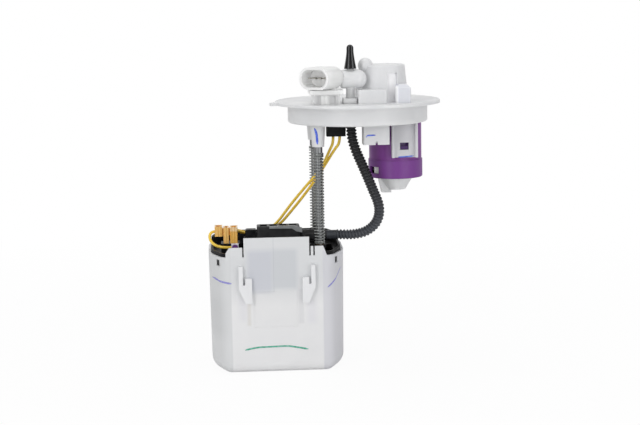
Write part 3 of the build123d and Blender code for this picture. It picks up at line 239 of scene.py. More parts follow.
def moulding(
    name, colour, shade, smooth=0.35, rough=0.5, patch=40, grain=2500, relief=0.00002, **shader,
):
    """A material for a moulded piece. shader holds further Principled sockets."""
    material = bpy.data.materials.new(name)
    material.use_nodes = True
    tree = material.node_tree
    body = tree.nodes["Principled BSDF"]
    place = tree.nodes.new("ShaderNodeGroup")
    place.node_tree = surface_group
    place.inputs["Colour"].default_value = (*colour, 1)
    place.inputs["Shade"].default_value = (*shade, 1)
    place.inputs["Patch scale"].default_value = patch
    place.inputs["Grain scale"].default_value = grain
    place.inputs["Smooth"].default_value = smooth
    place.inputs["Rough"].default_value = rough
    bump = tree.nodes.new("ShaderNodeBump")
    bump.inputs["Strength"].default_value = 0.6
    bump.inputs["Distance"].default_value = relief
    tree.links.new(place.outputs["Colour"], body.inputs["Base Color"])
    tree.links.new(place.outputs["Roughness"], body.inputs["Roughness"])
    tree.links.new(place.outputs["Height"], bump.inputs["Height"])
    tree.links.new(bump.outputs["Normal"], body.inputs["Normal"])
    for socket, value in shader.items():
        body.inputs[socket.replace("_", " ")].default_value = value
    return material


def soft_box():
    """A box with soft edges, as a mask for a zone of another colour (often painted shade), as a shader
    group.
    """
    group = bpy.data.node_groups.new("soft box zone", "ShaderNodeTree")
    face = group.interface
    for name, value in (
        ("Left", -0.1), ("Right", 0.0), ("Low", -0.2), ("High", -0.1), ("Back", 0.1),
        ("Soft", 0.004), ("Strength", 1.0),
    ):
        socket = face.new_socket(name=name, in_out="INPUT", socket_type="NodeSocketFloat")
        socket.default_value = value
    face.new_socket(name="Mask", in_out="OUTPUT", socket_type="NodeSocketFloat")
    add, link = group.nodes.new, group.links.new
    given, out, place = add("NodeGroupInput"), add("NodeGroupOutput"), add("ShaderNodeTexCoord")
    split = add("ShaderNodeSeparateXYZ")
    link(place.outputs["Object"], split.inputs["Vector"])
    answer = given.outputs["Strength"]
    for axis, edge, inward in (
        ("X", "Left", 1), ("X", "Right", -1), ("Z", "Low", 1), ("Z", "High", -1), ("Y", "Back", -1),
    ):
        reach = add("ShaderNodeMath")
        reach.operation = "SUBTRACT"
        pair = (split.outputs[axis], given.outputs[edge])
        link(pair[0] if inward > 0 else pair[1], reach.inputs[0])
        link(pair[1] if inward > 0 else pair[0], reach.inputs[1])
        share = add("ShaderNodeMath")
        share.operation = "DIVIDE"
        share.use_clamp = True
        link(reach.outputs["Value"], share.inputs[0])
        link(given.outputs["Soft"], share.inputs[1])
        both = add("ShaderNodeMath")
        both.operation = "MULTIPLY"
        link(share.outputs["Value"], both.inputs[0])
        link(answer, both.inputs[1])
        answer = both.outputs["Value"]
    link(answer, out.inputs["Mask"])
    return group


zone_group = soft_box()


def lay_over(material, mask, shade):
    """Mixes a shade over a material's own colour, as far as a mask in its node tree says."""
    tree = material.node_tree
    colour = tree.nodes["Principled BSDF"].inputs["Base Color"]
    mix = tree.nodes.new("ShaderNodeMix")
    mix.data_type = "RGBA"
    mix.inputs["B"].default_value = (*shade, 1)
    tree.links.new(colour.links[0].from_socket, mix.inputs["A"])
    tree.links.new(mask, mix.inputs["Factor"])
    tree.links.new(mix.outputs["Result"], colour)


def lay_zones(material, zones):
    """Lays zones of another colour over a material.

    Each zone is (left, right, low, high, back, soft edge, strength, colour).
    """
    names = ("Left", "Right", "Low", "High", "Back", "Soft", "Strength")
    for *values, shade in zones:
        zone = material.node_tree.nodes.new("ShaderNodeGroup")
        zone.node_tree = zone_group
        for name, value in zip(names, values):
            zone.inputs[name].default_value = value
        lay_over(material, zone.outputs["Mask"], shade)


def dress(material, *names):
    """Gives CAD nodes their material."""
    for name in names:
        mesh = nodes[name].data
        mesh.materials.clear()
        mesh.materials.append(material)


flange_acetal = moulding(
    "natural acetal, flange", (0.75, 0.755, 0.76), (0.69, 0.695, 0.71), 0.32, 0.46,
    patch=25, grain=1800,
    Subsurface_Weight=0.4, Subsurface_Scale=0.003, Subsurface_Radius=(1, 1, 1),
)
# painted shade on the front of the skirt, under the plate, and on the clip arm
lay_zones(flange_acetal, [
    (-0.0480, 0.0480, -0.0150, -0.0020, -0.030, 0.0040, 0.6, (0.66, 0.665, 0.675)),
    (0.0200, 0.0600, -0.0500, -0.0160, -0.020, 0.0010, 0.8, (0.60, 0.595, 0.625)),
])

dress(flange_acetal, "flange")

# ---------------------------------------------------------------- electrical connector
# White receptacle with moulded-in terminals, welded on the flange's top. The panels between
# the ribs of its foot get painted shade, and the socket's inside painted light.
connector_acetal = moulding(
    "white connector resin", (0.88, 0.885, 0.88), (0.83, 0.835, 0.83), 0.3, 0.42, patch=35, grain=1800,
    Subsurface_Weight=0.5, Subsurface_Scale=0.005, Subsurface_Radius=(1, 1, 1),
)
# painted shade on two panels of the foot and the ledge above them, painted light in the socket's inside
lay_zones(connector_acetal, [
    (-0.0418, -0.0352, 0.0006, 0.0105, 0.3, 0.0003, 0.9, (0.60, 0.60, 0.605)),
    (-0.0286, -0.0202, 0.0006, 0.0105, 0.3, 0.0003, 0.9, (0.60, 0.60, 0.605)),
    (-0.0430, -0.0190, 0.0100, 0.0140, 0.3, 0.0006, 0.6, (0.76, 0.76, 0.76)),
    (-0.0560, -0.0250, 0.0190, 0.0330, -0.0300, 0.0030, 0.8, (0.97, 0.97, 0.97)),
])
dress(connector_acetal, "connector_shell")


def metal(name, colour, dark, smooth, rough, stretch=(1, 1, 0.05), scale=900, relief=0.00001):
    """A material for bare metal, with fine drawing marks along one axis."""
    material = bpy.data.materials.new(name)
    material.use_nodes = True
    tree = material.node_tree
    body = tree.nodes["Principled BSDF"]
    body.inputs["Metallic"].default_value = 1.0
    place = tree.nodes.new("ShaderNodeTexCoord")
    turn = tree.nodes.new("ShaderNodeMapping")
    turn.inputs["Scale"].default_value = stretch
    marks = tree.nodes.new("ShaderNodeTexNoise")
    marks.inputs["Scale"].default_value = scale
    marks.inputs["Detail"].default_value = 4
    mix = tree.nodes.new("ShaderNodeMix")
    mix.data_type = "RGBA"
    mix.inputs["A"].default_value = (*colour, 1)
    mix.inputs["B"].default_value = (*dark, 1)
    gloss = tree.nodes.new("ShaderNodeMapRange")
    gloss.inputs["To Min"].default_value = smooth
    gloss.inputs["To Max"].default_value = rough
    bump = tree.nodes.new("ShaderNodeBump")
    bump.inputs["Strength"].default_value = 0.5
    bump.inputs["Distance"].default_value = relief
    tree.links.new(place.outputs["Object"], turn.inputs["Vector"])
    tree.links.new(turn.outputs["Vector"], marks.inputs["Vector"])
    tree.links.new(marks.outputs["Fac"], mix.inputs["Factor"])
    tree.links.new(marks.outputs["Fac"], gloss.inputs["Value"])
    tree.links.new(marks.outputs["Fac"], bump.inputs["Height"])
    tree.links.new(mix.outputs["Result"], body.inputs["Base Color"])
    tree.links.new(gloss.outputs["Result"], body.inputs["Roughness"])
    tree.links.new(bump.outputs["Normal"], body.inputs["Normal"])
    return material


tinned_brass = metal("tinned brass", (0.50, 0.48, 0.44), (0.36, 0.34, 0.30), 0.25, 0.45)
dress(tinned_brass, "terminals")

# ---------------------------------------------------------------- fuel outlet and its cap
# White outlet fitting with a barrel across its column, and the black fluted cap that keeps
# dirt out until the fuel pipe is pushed on. It is moulded rubber, with a painted sheen along its ridges.
acetal = moulding(
    "natural acetal", (0.755, 0.76, 0.765), (0.70, 0.705, 0.72), 0.32, 0.46, patch=25, grain=1800,
    Subsurface_Weight=0.9, Subsurface_Scale=0.008, Subsurface_Radius=(1, 1, 1),
)
dress(acetal, "supply_fitting")
cap_low, cap_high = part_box("shipping_cap")
cap_x = (cap_low[0] + cap_high[0]) / 2
cap_y = (cap_low[1] + cap_high[1]) / 2
cap_tip = 0.0031
cap_tip_hole = 0.0001
cap_flare = 0.0024
cap_flare_curve = 1.35
cap_neck = 0.0155
cap_bore = 0.00305
cap_bore_depth = 0.0107
cap_flutes = 8
cap_flute_depth = 0.00045
cap_flute_curve = 1.6
cap_flute_at_tip = 0.25
cap_sides = 96
cap_neck_steps = 24
cap_tip_steps = 11


def skin(name, rings, closed=False):
    """A mesh object from rings of points, with its ends filled."""
    build = bmesh.new()
    loops = [[build.verts.new(point) for point in ring] for ring in rings]
    sides = len(loops[0])
    pairs = list(zip(loops, loops[1:]))
    if closed:
        pairs.append((loops[-1], loops[0]))
    for low, high in pairs:
        for side in range(sides):
            other = (side + 1) % sides
            build.faces.new((low[side], low[other], high[other], high[side]))
    if not closed:
        build.faces.new(loops[0][::-1])
        build.faces.new(loops[-1])
    bmesh.ops.recalc_face_normals(build, faces=build.faces)
    mesh = bpy.data.meshes.new(name)
    build.to_mesh(mesh)
    build.free()
    for face in mesh.polygons:
        face.use_smooth = len(face.vertices) == 4
    piece = bpy.data.objects.new(name, mesh)
    bpy.context.collection.objects.link(piece)
    return piece


def finish_piece(piece, material, body):
    """Gives a new piece its material, and sets it on its body if it has one."""
    piece.data.materials.append(material)
    if body:
        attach(piece, body)


def cap_ring(radius, height, fluted):
    """One ring of the cap, with its flutes cut to the given share of their depth."""
    ring = []
    for side in range(cap_sides):
        angle = 2 * math.pi * side / cap_sides
        wave = 0.5 + 0.5 * math.cos(cap_flutes * angle)
        reach = radius - wave ** cap_flute_curve * cap_flute_depth * fluted
        ring.append(Vector((
            cap_x + reach * math.cos(angle), cap_y + reach * math.sin(angle), cap_low[2] + height,
        )))
    return ring


cap_rings = []
for step in range(cap_neck_steps + 1):
    share = step / cap_neck_steps
    cap_rings.append(cap_ring(
        cap_tip + cap_flare * (1 - share) ** cap_flare_curve,
        share * cap_neck,
        1 - (1 - cap_flute_at_tip) * share,
    ))
cap_dome = cap_high[2] - cap_low[2] - cap_tip
for step in range(cap_tip_steps + 1):
    angle = math.pi / 2 * step / cap_tip_steps
    cap_rings.append(cap_ring(
        max(cap_tip * math.cos(angle), cap_tip_hole),
        cap_dome + cap_tip * math.sin(angle),
        cap_flute_at_tip * math.cos(angle),
    ))
cap_rings.append(cap_ring(cap_tip_hole, cap_bore_depth, 0))
cap_rings.append(cap_ring(cap_bore, cap_bore_depth, 0))
cap_rings.append(cap_ring(cap_bore, 0, 0))
cap = skin("fluted_cap", cap_rings, closed=True)
cap_black = moulding(
    "black glossy rubber", (0.002, 0.002, 0.002), (0.005, 0.005, 0.006), 0.08, 0.16,
    patch=200, relief=0.000004, Specular_IOR_Level=0.14,
)
# painted sheen: the ridges of the flutes are paler, as if the lamps glinted on them
cap_sheen = (0.11, 0.11, 0.115)
tree = cap_black.node_tree
place = tree.nodes.new("ShaderNodeTexCoord")
centre = tree.nodes.new("ShaderNodeMapping")
centre.inputs["Location"].default_value = (-cap_x, -cap_y, 0)
around = tree.nodes.new("ShaderNodeTexGradient")
around.gradient_type = "RADIAL"
count = tree.nodes.new("ShaderNodeMath")
count.operation = "MULTIPLY"
count.inputs[1].default_value = 2 * math.pi * cap_flutes
ridge = tree.nodes.new("ShaderNodeMath")
ridge.operation = "COSINE"
sheen_on_ridges = tree.nodes.new("ShaderNodeMapRange")
sheen_on_ridges.inputs["From Min"].default_value = -0.1
sheen_on_ridges.inputs["From Max"].default_value = -1.0
tree.links.new(place.outputs["Object"], centre.inputs["Vector"])
tree.links.new(centre.outputs["Vector"], around.inputs["Vector"])
tree.links.new(around.outputs["Fac"], count.inputs[0])
tree.links.new(count.outputs["Value"], ridge.inputs[0])
tree.links.new(ridge.outputs["Value"], sheen_on_ridges.inputs["Value"])
lay_over(cap_black, sheen_on_ridges.outputs["Result"], cap_sheen)
finish_piece(cap, cap_black, "shipping_cap")
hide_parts("shipping_cap")

# ---------------------------------------------------------------- vapour tower
# White dome, plinth and box, welded on the flange over the vent's groove. The wall is thinner
# in the recess beside the box, which gets painted light, and the box gets a bluish painted shade.
tower_acetal = moulding(
    "natural acetal, tower", (0.77, 0.775, 0.78), (0.71, 0.715, 0.73), 0.32, 0.46,
    patch=25, grain=1800,
    Subsurface_Weight=0.4, Subsurface_Scale=0.003, Subsurface_Radius=(1, 1, 1),
)
# painted light in the recess beside the box, bluish painted shade on the box
lay_zones(tower_acetal, [
    (0.0224, 0.0314, 0.0000, 0.0282, -0.025, 0.0004, 1.0, (0.95, 0.95, 0.97)),
    (0.0300, 0.0420, 0.0000, 0.0190, -0.030, 0.0010, 0.5, (0.72, 0.74, 0.82)),
])
dress(tower_acetal, "vapour_tower")

# ---------------------------------------------------------------- plug and regulator
# Black plug pushed onto the pins under the flange, and beside it the white case that holds the
# pressure regulator, a crimped steel can.
jet_black = moulding(
    "jet black resin", (0.005, 0.005, 0.006), (0.012, 0.012, 0.013), 0.35, 0.55, patch=150,
    Specular_IOR_Level=0.12,
)
dress(jet_black, "harness_plug")
case_acetal = moulding(
    "grey-white acetal", (0.72, 0.725, 0.74), (0.66, 0.665, 0.68), 0.35, 0.5, patch=40,
    Subsurface_Weight=0.1, Subsurface_Scale=0.006, Subsurface_Radius=(1, 1, 1),
)
dress(case_acetal, "regulator_case")
zinc = metal("zinc-plated steel", (0.66, 0.67, 0.68), (0.5, 0.5, 0.5), 0.25, 0.45)
dress(zinc, "pressure_regulator")

# ---------------------------------------------------------------- vent valve
# Purple cup that snaps into the flange's arm, with its white nozzle pressed in from below. The
# float inside it shuts the vent when the fuel stands too high.
purple = moulding(
    "purple acetal", (0.205, 0.046, 0.275), (0.180, 0.039, 0.240), 0.3, 0.45, patch=45, grain=1800,
    Specular_IOR_Level=0.35,
)
# painted shade: the band round the cup's lower end, darker to even it with the upper part in the flange's
# shadow, and the shaded window behind the arm
lay_zones(purple, [
    (-0.3, 0.3, -0.1, -0.0496, 0.3, 0.0020, 0.9, (0.172, 0.042, 0.250)),
    (0.0340, 0.0435, -0.0415, -0.0330, -0.015, 0.0004, 0.9, (0.045, 0.022, 0.095)),
])
dress(purple, "vent_valve_case")
dress(flange_acetal, "vent_valve_nozzle")
dress(case_acetal, "vent_float")

# ---------------------------------------------------------------- guide rods and springs
# Ground steel rods in the flange's bosses, with their collars and push-on nuts. A coil spring
# of round wire stands on each between the collar and the reservoir's sleeve.
# this steel is dark as painted shade, for the rods stand in the springs' shadow; the retainers, collars
# and the motor's shaft share it
rod_steel = metal("ground rod steel", (0.26, 0.265, 0.27), (0.17, 0.175, 0.18), 0.22, 0.38)
dress(rod_steel, "guide_rod_front", "guide_rod_back", "rod_retainers", "rod_collars")
spring_steel = metal(
    "spring wire", (0.34, 0.35, 0.345), (0.19, 0.20, 0.195), 0.25, 0.45,
    stretch=(1, 1, 1), scale=1500,
)
spring_wire = 0.0012
spring_pitch = 0.00255
coil_steps = 22
closed_turns = 2


def tube(name, places, ways, radius_at, sides=16):
    """A tube along stations, whose radius is given at each distance from its start."""
    across = ways[0].orthogonal().normalized()
    rings, run = [], 0.0
    for number, (place, way) in enumerate(zip(places, ways)):
        if number:
            run += (place - places[number - 1]).length
        across = (across - way * across.dot(way)).normalized()
        beside = way.cross(across)
        radius = radius_at(run)
        rings.append([
            place + (across * math.cos(a) + beside * math.sin(a)) * radius
            for a in (2 * math.pi * side / sides for side in range(sides))
        ])
    return skin(name, rings)


def coil(name, axis, radius, wire, low, high, pitch, sides=10):
    """A coil spring of round wire between two heights, with two closed turns at each end."""
    closed = closed_turns * wire
    turns = max(1, round((high - low - 2 * closed - wire) / pitch)) + 2 * closed_turns
    steps = turns * coil_steps
    line = []
    for step in range(steps + 1):
        turn = turns * step / steps
        if turn < closed_turns:
            height = low + wire / 2 + turn * wire
        elif turn > turns - closed_turns:
            height = high - wire / 2 - (turns - turn) * wire
        else:
            share = (turn - closed_turns) / (turns - 2 * closed_turns)
            height = low + wire / 2 + closed + share * (high - low - wire - 2 * closed)
        angle = 2 * math.pi * turn
        line.append(Vector((
            axis[0] + radius * math.cos(angle), axis[1] + radius * math.sin(angle), height,
        )))
    ways = [
        (line[min(i + 1, steps)] - line[max(i - 1, 0)]).normalized() for i in range(steps + 1)
    ]
    return tube(name, line, ways, lambda run: wire / 2, sides)


for side in ("front", "back"):
    low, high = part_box("rod_spring_" + side)
    axis = ((low[0] + high[0]) / 2, (low[1] + high[1]) / 2, 0)
    spring = coil(
        "coil_spring_" + side, axis, (high[0] - low[0] - spring_wire) / 2, spring_wire,
        low[2], high[2], spring_pitch,
    )
    finish_piece(spring, spring_steel, "flange")
    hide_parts("rod_spring_" + side)
    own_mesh(spring)

# ---------------------------------------------------------------- reservoir
# Thin-walled tub, moulded in translucent polyethylene, with soft bluish and grey zones of painted
# shade on its front and sides. The carrier drops into it and snaps into its windows.
tub_resin = moulding(
    "natural polyethylene", (0.82, 0.82, 0.825), (0.78, 0.78, 0.79), 0.32, 0.45, patch=16, grain=1500,
    Subsurface_Weight=0.2, Subsurface_Scale=0.006, Subsurface_Radius=(1, 1, 1),
)
# painted shade on the upper half, where the pump and header show through the front, along the edges
# of the rails and on the sides; a brownish smear under the left rail, and the seam
lay_zones(tub_resin, [
    (-0.300, 0.300, -0.172, 0.0, 0.3, 0.025, 1.00, (0.69, 0.70, 0.715)),
    (-0.1045, -0.0770, -0.1615, -0.1190, -0.04, 0.0055, 0.80, (0.56, 0.575, 0.63)),
    (-0.0825, -0.0565, -0.1585, -0.1190, -0.04, 0.0045, 0.75, (0.565, 0.585, 0.615)),
    (-0.0588, -0.0525, -0.1880, -0.1560, -0.04, 0.0015, 0.40, (0.62, 0.62, 0.64)),
    (-0.1035, -0.0985, -0.1890, -0.1660, -0.04, 0.0018, 0.40, (0.62, 0.59, 0.53)),
    (-0.0530, -0.0400, -0.1900, -0.1640, -0.04, 0.0050, 0.30, (0.64, 0.63, 0.70)),
    (-0.1120, -0.1000, -0.1860, -0.1600, -0.04, 0.0050, 0.30, (0.64, 0.63, 0.69)),
    (-0.300, -0.1155, -0.300, 0.0, 0.3, 0.0012, 0.75, (0.64, 0.65, 0.66)),
    (-0.145, -0.116, -0.2050, -0.1560, 0.3, 0.012, 0.50, (0.55, 0.56, 0.57)),
    (-0.0370, 0.300, -0.300, 0.0, 0.3, 0.0012, 0.75, (0.62, 0.62, 0.665)),
    (-0.0795, -0.0787, -0.1590, -0.1040, -0.04, 0.0003, 0.45, (0.45, 0.46, 0.50)),
])
# the rails stand clear of the wall, so they keep their own colour over the zones' painted shade
rail_start = -0.0526
rail_fade = 0.001
rail_white = (0.77, 0.775, 0.79)
tree = tub_resin.node_tree
place = tree.nodes.new("ShaderNodeTexCoord")
split = tree.nodes.new("ShaderNodeSeparateXYZ")
proud = tree.nodes.new("ShaderNodeMapRange")
proud.inputs["From Min"].default_value = rail_start
proud.inputs["From Max"].default_value = rail_start - rail_fade
tree.links.new(place.outputs["Object"], split.inputs["Vector"])
tree.links.new(split.outputs["Y"], proud.inputs["Value"])
lay_over(tub_resin, proud.outputs["Result"], rail_white)
dress(tub_resin, "reservoir")

# ---------------------------------------------------------------- carrier
# Black moulded frame in the tub. It holds the pump in a rubber isolator, over the strainer and
# the jet pump, and runs on the guide rods through two pressed-in bronze bushes.
dress(jet_black, "carrier")
black_nylon = moulding(
    "black glass-filled nylon", (0.012, 0.012, 0.013), (0.026, 0.026, 0.028), 0.35, 0.55,
    patch=150, Specular_IOR_Level=0.3,
)
dress(black_nylon, "strainer", "jet_pump", "feed_tube")
bronze = metal(
    "sintered bronze", (0.55, 0.36, 0.18), (0.4, 0.25, 0.12), 0.4, 0.6, stretch=(1, 1, 1),
)
dress(bronze, "guide_bushes")
rubber = moulding(
    "black rubber", (0.02, 0.02, 0.02), (0.04, 0.04, 0.04), 0.6, 0.8, patch=200, grain=3000,
)
dress(rubber, "isolator", "foot_valve")

# ---------------------------------------------------------------- pump
# Rolled steel can over two nylon ends, with magnets glued inside it and carbon brushes in the
# head. The rotor turns between them on its shaft and drives the impeller at the inlet.
dress(zinc, "pump_can")
dress(black_nylon, "inlet_cap", "pump_head", "pump_plate")
ferrite = moulding("ferrite", (0.05, 0.05, 0.055), (0.09, 0.09, 0.095), 0.5, 0.7, patch=300)
dress(ferrite, "magnets")
carbon = moulding("carbon", (0.02, 0.02, 0.02), (0.05, 0.05, 0.05), 0.4, 0.6, patch=400)
dress(carbon, "brushes")
dress(rod_steel, "motor_shaft")
core_steel = metal(
    "core laminations", (0.4, 0.4, 0.42), (0.22, 0.22, 0.24), 0.35, 0.6,
    stretch=(0.02, 0.02, 1), scale=1800,
)
dress(core_steel, "armature_core")
copper = metal("copper", (0.75, 0.40, 0.25), (0.6, 0.28, 0.16), 0.2, 0.4)
dress(copper, "commutator")
phenolic = moulding("brown phenolic", (0.10, 0.05, 0.025), (0.15, 0.08, 0.04), 0.35, 0.5, patch=300)
dress(phenolic, "impeller")

# ---------------------------------------------------------------- fuel line and cover
# Black nylon line with its check valve, the ribbed cover that clips over it, the grey arm in
# front and the push-on connector of the hose.
dress(jet_black, "fuel_line")
dress(black_nylon, "line_cover", "hose_connector")
dress(case_acetal, "check_poppet")
grey_resin = moulding("grey nylon", (0.20, 0.21, 0.215), (0.27, 0.28, 0.285), 0.35, 0.5, patch=120)
dress(grey_resin, "cover_arm")

# ---------------------------------------------------------------- small springs
# The spring that shuts the check valve in the fuel line, and the two that press the brushes on
# the commutator. All are coiled from fine wire and stand in their pockets.
fine_wire = 0.0004
fine_pitch = 0.0009
fine_sides = 8
low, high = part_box("check_spring")
axis = ((low[0] + high[0]) / 2, (low[1] + high[1]) / 2, 0)
small_spring = coil(
    "check_valve_spring", axis, (high[0] - low[0] - fine_wire) / 2, fine_wire,
    low[2], high[2], fine_pitch, fine_sides,
)
finish_piece(small_spring, spring_steel, "reservoir")
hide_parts("check_spring")
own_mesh(small_spring)
dress(spring_steel, "brush_springs")

# ---------------------------------------------------------------- pump connector
# Amber nylon connector in three fluted towers, pushed onto the pump's blades. A white lock with
# a purple button holds it.
amber_flutes = 130
amber_flute_depth = 0.0005
amber = moulding("amber nylon", (0.92, 0.56, 0.17), (0.84, 0.47, 0.11), 0.22, 0.38, patch=260)
tree = amber.node_tree
place = tree.nodes.new("ShaderNodeTexCoord")
flutes = tree.nodes.new("ShaderNodeTexWave")
flutes.inputs["Scale"].default_value = amber_flutes
cut = tree.nodes.new("ShaderNodeBump")
cut.inputs["Distance"].default_value = amber_flute_depth
moulded = tree.nodes["Principled BSDF"].inputs["Normal"]
tree.links.new(place.outputs["Object"], flutes.inputs["Vector"])
tree.links.new(flutes.outputs["Fac"], cut.inputs["Height"])
tree.links.new(moulded.links[0].from_socket, cut.inputs["Normal"])
tree.links.new(cut.outputs["Normal"], moulded)
# painted highlight on the right tower's pale lip, and its deeper body
lay_zones(amber, [
    (-0.1163, -0.1089, -0.1104, -0.1060, -0.012, 0.0003, 0.60, (0.97, 0.74, 0.46)),
    (-0.1163, -0.1089, -0.1213, -0.1104, -0.012, 0.0003, 0.45, (0.90, 0.47, 0.04)),
])
dress(amber, "pump_connector")
button_purple = (0.16, 0.04, 0.24)
button_width = 0.4
button_height = 0.42
button_edge = 0.15
low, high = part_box("connector_lock")
lock_white = moulding("white lock", (0.74, 0.73, 0.76), (0.66, 0.64, 0.70), 0.3, 0.45, patch=200)
tree = lock_white.node_tree
place = tree.nodes.new("ShaderNodeTexCoord")
spot = tree.nodes.new("ShaderNodeMapping")
spot.vector_type = "TEXTURE"
spot.inputs["Location"].default_value = [(a + b) / 2 for a, b in zip(low, high)]
spot.inputs["Scale"].default_value = (
    (high[0] - low[0]) * button_width, 1, (high[2] - low[2]) * button_height,
)
reach = tree.nodes.new("ShaderNodeVectorMath")
reach.operation = "LENGTH"
inside = tree.nodes.new("ShaderNodeMapRange")
inside.inputs["From Min"].default_value = 1 + button_edge
inside.inputs["From Max"].default_value = 1 - button_edge
tree.links.new(place.outputs["Object"], spot.inputs["Vector"])
tree.links.new(spot.outputs["Vector"], reach.inputs[0])
tree.links.new(reach.outputs["Value"], inside.inputs["Value"])
lay_over(lock_white, inside.outputs["Result"], button_purple)
dress(lock_white, "connector_lock")

# ---------------------------------------------------------------- fuel hose
# Corrugated nylon hose from the outlet under the flange down to the line on the reservoir.
# It is pushed over a barb at both ends, and its last stretch is plain where it is clamped.
hose_route = [
    (-0.0093, -0.0400, -0.0120),
    (-0.0093, -0.0400, -0.0250),
    (-0.0056, -0.0390, -0.0380),
    (-0.0002, -0.0360, -0.0500),
    (0.0055, -0.0320, -0.0630),
    (0.0108, -0.0280, -0.0760),
    (0.0158, -0.0245, -0.0875),
    (0.0166, -0.0210, -0.0980),
    (0.0130, -0.0170, -0.1075),
    (0.0045, -0.0130, -0.1145),
    (-0.0069, -0.0088, -0.1172),
    (-0.0184, -0.0060, -0.1170),
    (-0.0300, -0.0060, -0.1170),
]
hose_radius = 0.0046
hose_pitch = 0.0030
hose_groove = 0.0013
hose_crest = 0.7
hose_plain_depth = 0.4
hose_plain_start = 0.002
hose_plain_end = 0.009
hose_steps = 8
hose_sides = 24


def smooth_line(name, route, resolution=24):
    """The points of a smooth line that the route's points steer."""
    curve = bpy.data.curves.new(name, "CURVE")
    curve.dimensions = "3D"
    spline = curve.splines.new("NURBS")
    spline.points.add(len(route) - 1)
    for point, place in zip(spline.points, route):
        point.co = (*place, 1)
    spline.order_u = 3
    spline.use_endpoint_u = True
    spline.resolution_u = resolution
    holder = bpy.data.objects.new(name, curve)
    bpy.context.collection.objects.link(holder)
    bpy.context.view_layer.update()
    mesh = bpy.data.meshes.new_from_object(holder)
    line = [vertex.co.copy() for vertex in mesh.vertices]
    bpy.data.objects.remove(holder)
    bpy.data.meshes.remove(mesh)
    return line


def line_length(line):
    """The length of a line along its points."""
    return sum((b - a).length for a, b in zip(line, line[1:]))


def stations(line, step):
    """Points at an even step along a line, with its direction at each."""
    total = line_length(line)
    count = max(2, round(total / step))
    places, run, index = [], 0.0, 0
    for number in range(count + 1):
        want = total * number / count
        while index < len(line) - 2 and run + (line[index + 1] - line[index]).length < want:
            run += (line[index + 1] - line[index]).length
            index += 1
        span = (line[index + 1] - line[index]).length
        places.append(line[index].lerp(line[index + 1], (want - run) / span))
    ways = []
    for number, place in enumerate(places):
        before = places[max(number - 1, 0)]
        behind = places[min(number + 1, count)]
        ways.append((behind - before).normalized())
    return places, ways


black_hose = moulding(
    "black corrugated nylon", (0.020, 0.021, 0.024), (0.040, 0.043, 0.050), 0.3, 0.5, patch=120,
    Specular_IOR_Level=0.35,
)
# darker above, lighter and bluish towards the reservoir
lay_zones(black_hose, [
    (-0.3, 0.3, -0.085, 0.1, 0.3, 0.030, 0.9, (0.004, 0.004, 0.005)),
    (-0.3, 0.3, -0.2, -0.088, 0.3, 0.020, 0.8, (0.062, 0.068, 0.080)),
])
hose_line = smooth_line("hose line", hose_route)
hose_length = line_length(hose_line)


def hose_profile(run):
    """The hose's radius at a distance from its start: plain at both ends, ribbed between them."""
    if run < hose_plain_start or run > hose_length - hose_plain_end:
        return hose_radius - hose_groove * hose_plain_depth
    wave = 0.5 + 0.5 * math.cos(2 * math.pi * run / hose_pitch)
    return hose_radius - hose_groove * (1 - wave ** hose_crest)


hose_places, hose_ways = stations(hose_line, hose_pitch / hose_steps)
hose = tube("corrugated_hose", hose_places, hose_ways, hose_profile, hose_sides)
finish_piece(hose, black_hose, None)
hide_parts("supply_hose")
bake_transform(hose)

# ---------------------------------------------------------------- pump wires
# Two yellow insulated wires from the plug under the flange to the amber connector, and a
# short looped one from that connector to its lock. They are crimped and pushed in.
wire_radius = 0.00125
wire_step = 0.0015
jumper_step = 0.0010
wire_sides = 12
wire_left_route = [
    (-0.0236, -0.0220, -0.0270),
    (-0.0236, -0.0220, -0.0330),
    (-0.0263, -0.0200, -0.0388),
    (-0.0322, -0.0166, -0.0525),
    (-0.0397, -0.0108, -0.0635),
    (-0.0492, -0.0030, -0.0753),
    (-0.0618, 0.0050, -0.0916),
    (-0.0750, 0.0100, -0.1101),
    (-0.0880, 0.0110, -0.1170),
    (-0.0980, 0.0102, -0.1174),
    (-0.1054, 0.0074, -0.1152),
    (-0.1110, 0.0020, -0.1122),
    (-0.1110, -0.0040, -0.1122),
]
wire_right_route = [
    (-0.0179, -0.0220, -0.0270),
    (-0.0179, -0.0220, -0.0335),
    (-0.0222, -0.0200, -0.0387),
    (-0.0316, -0.0142, -0.0549),
    (-0.0388, -0.0082, -0.0665),
    (-0.0461, -0.0015, -0.0780),
    (-0.0584, 0.0065, -0.0945),
    (-0.0725, 0.0126, -0.1118),
    (-0.0880, 0.0137, -0.1170),
    (-0.0993, 0.0130, -0.1168),
    (-0.1090, 0.0108, -0.1136),
    (-0.1138, 0.0030, -0.1120),
    (-0.1138, -0.0040, -0.1120),
]
jumper_route = [
    (-0.1294, -0.0100, -0.1110),
    (-0.1330, -0.0100, -0.1110),
    (-0.1346, -0.0124, -0.1166),
    (-0.1304, -0.0158, -0.1222),
    (-0.1226, -0.0203, -0.1240),
    (-0.1152, -0.0203, -0.1240),
]
wire_yellow = moulding(
    "yellow wire insulation", (0.93, 0.66, 0.08), (0.82, 0.54, 0.05), 0.3, 0.45, patch=300,
)


def wire_profile(run):
    """The wires are as thick at any distance from their start."""
    return wire_radius


for wire_name, route in (("wire_left", wire_left_route), ("wire_right", wire_right_route)):
    wire_line = smooth_line(wire_name + " line", route)
    wire_places, wire_ways = stations(wire_line, wire_step)
    wire = tube("pump_" + wire_name, wire_places, wire_ways, wire_profile, wire_sides)
    finish_piece(wire, wire_yellow, None)
    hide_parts(wire_name)
    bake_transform(wire)
jumper_line = smooth_line("jumper line", jumper_route)
jumper_places, jumper_ways = stations(jumper_line, jumper_step)
jumper = tube("looped_wire", jumper_places, jumper_ways, wire_profile, wire_sides)
finish_piece(jumper, wire_yellow, "reservoir")
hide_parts("jumper_wire")

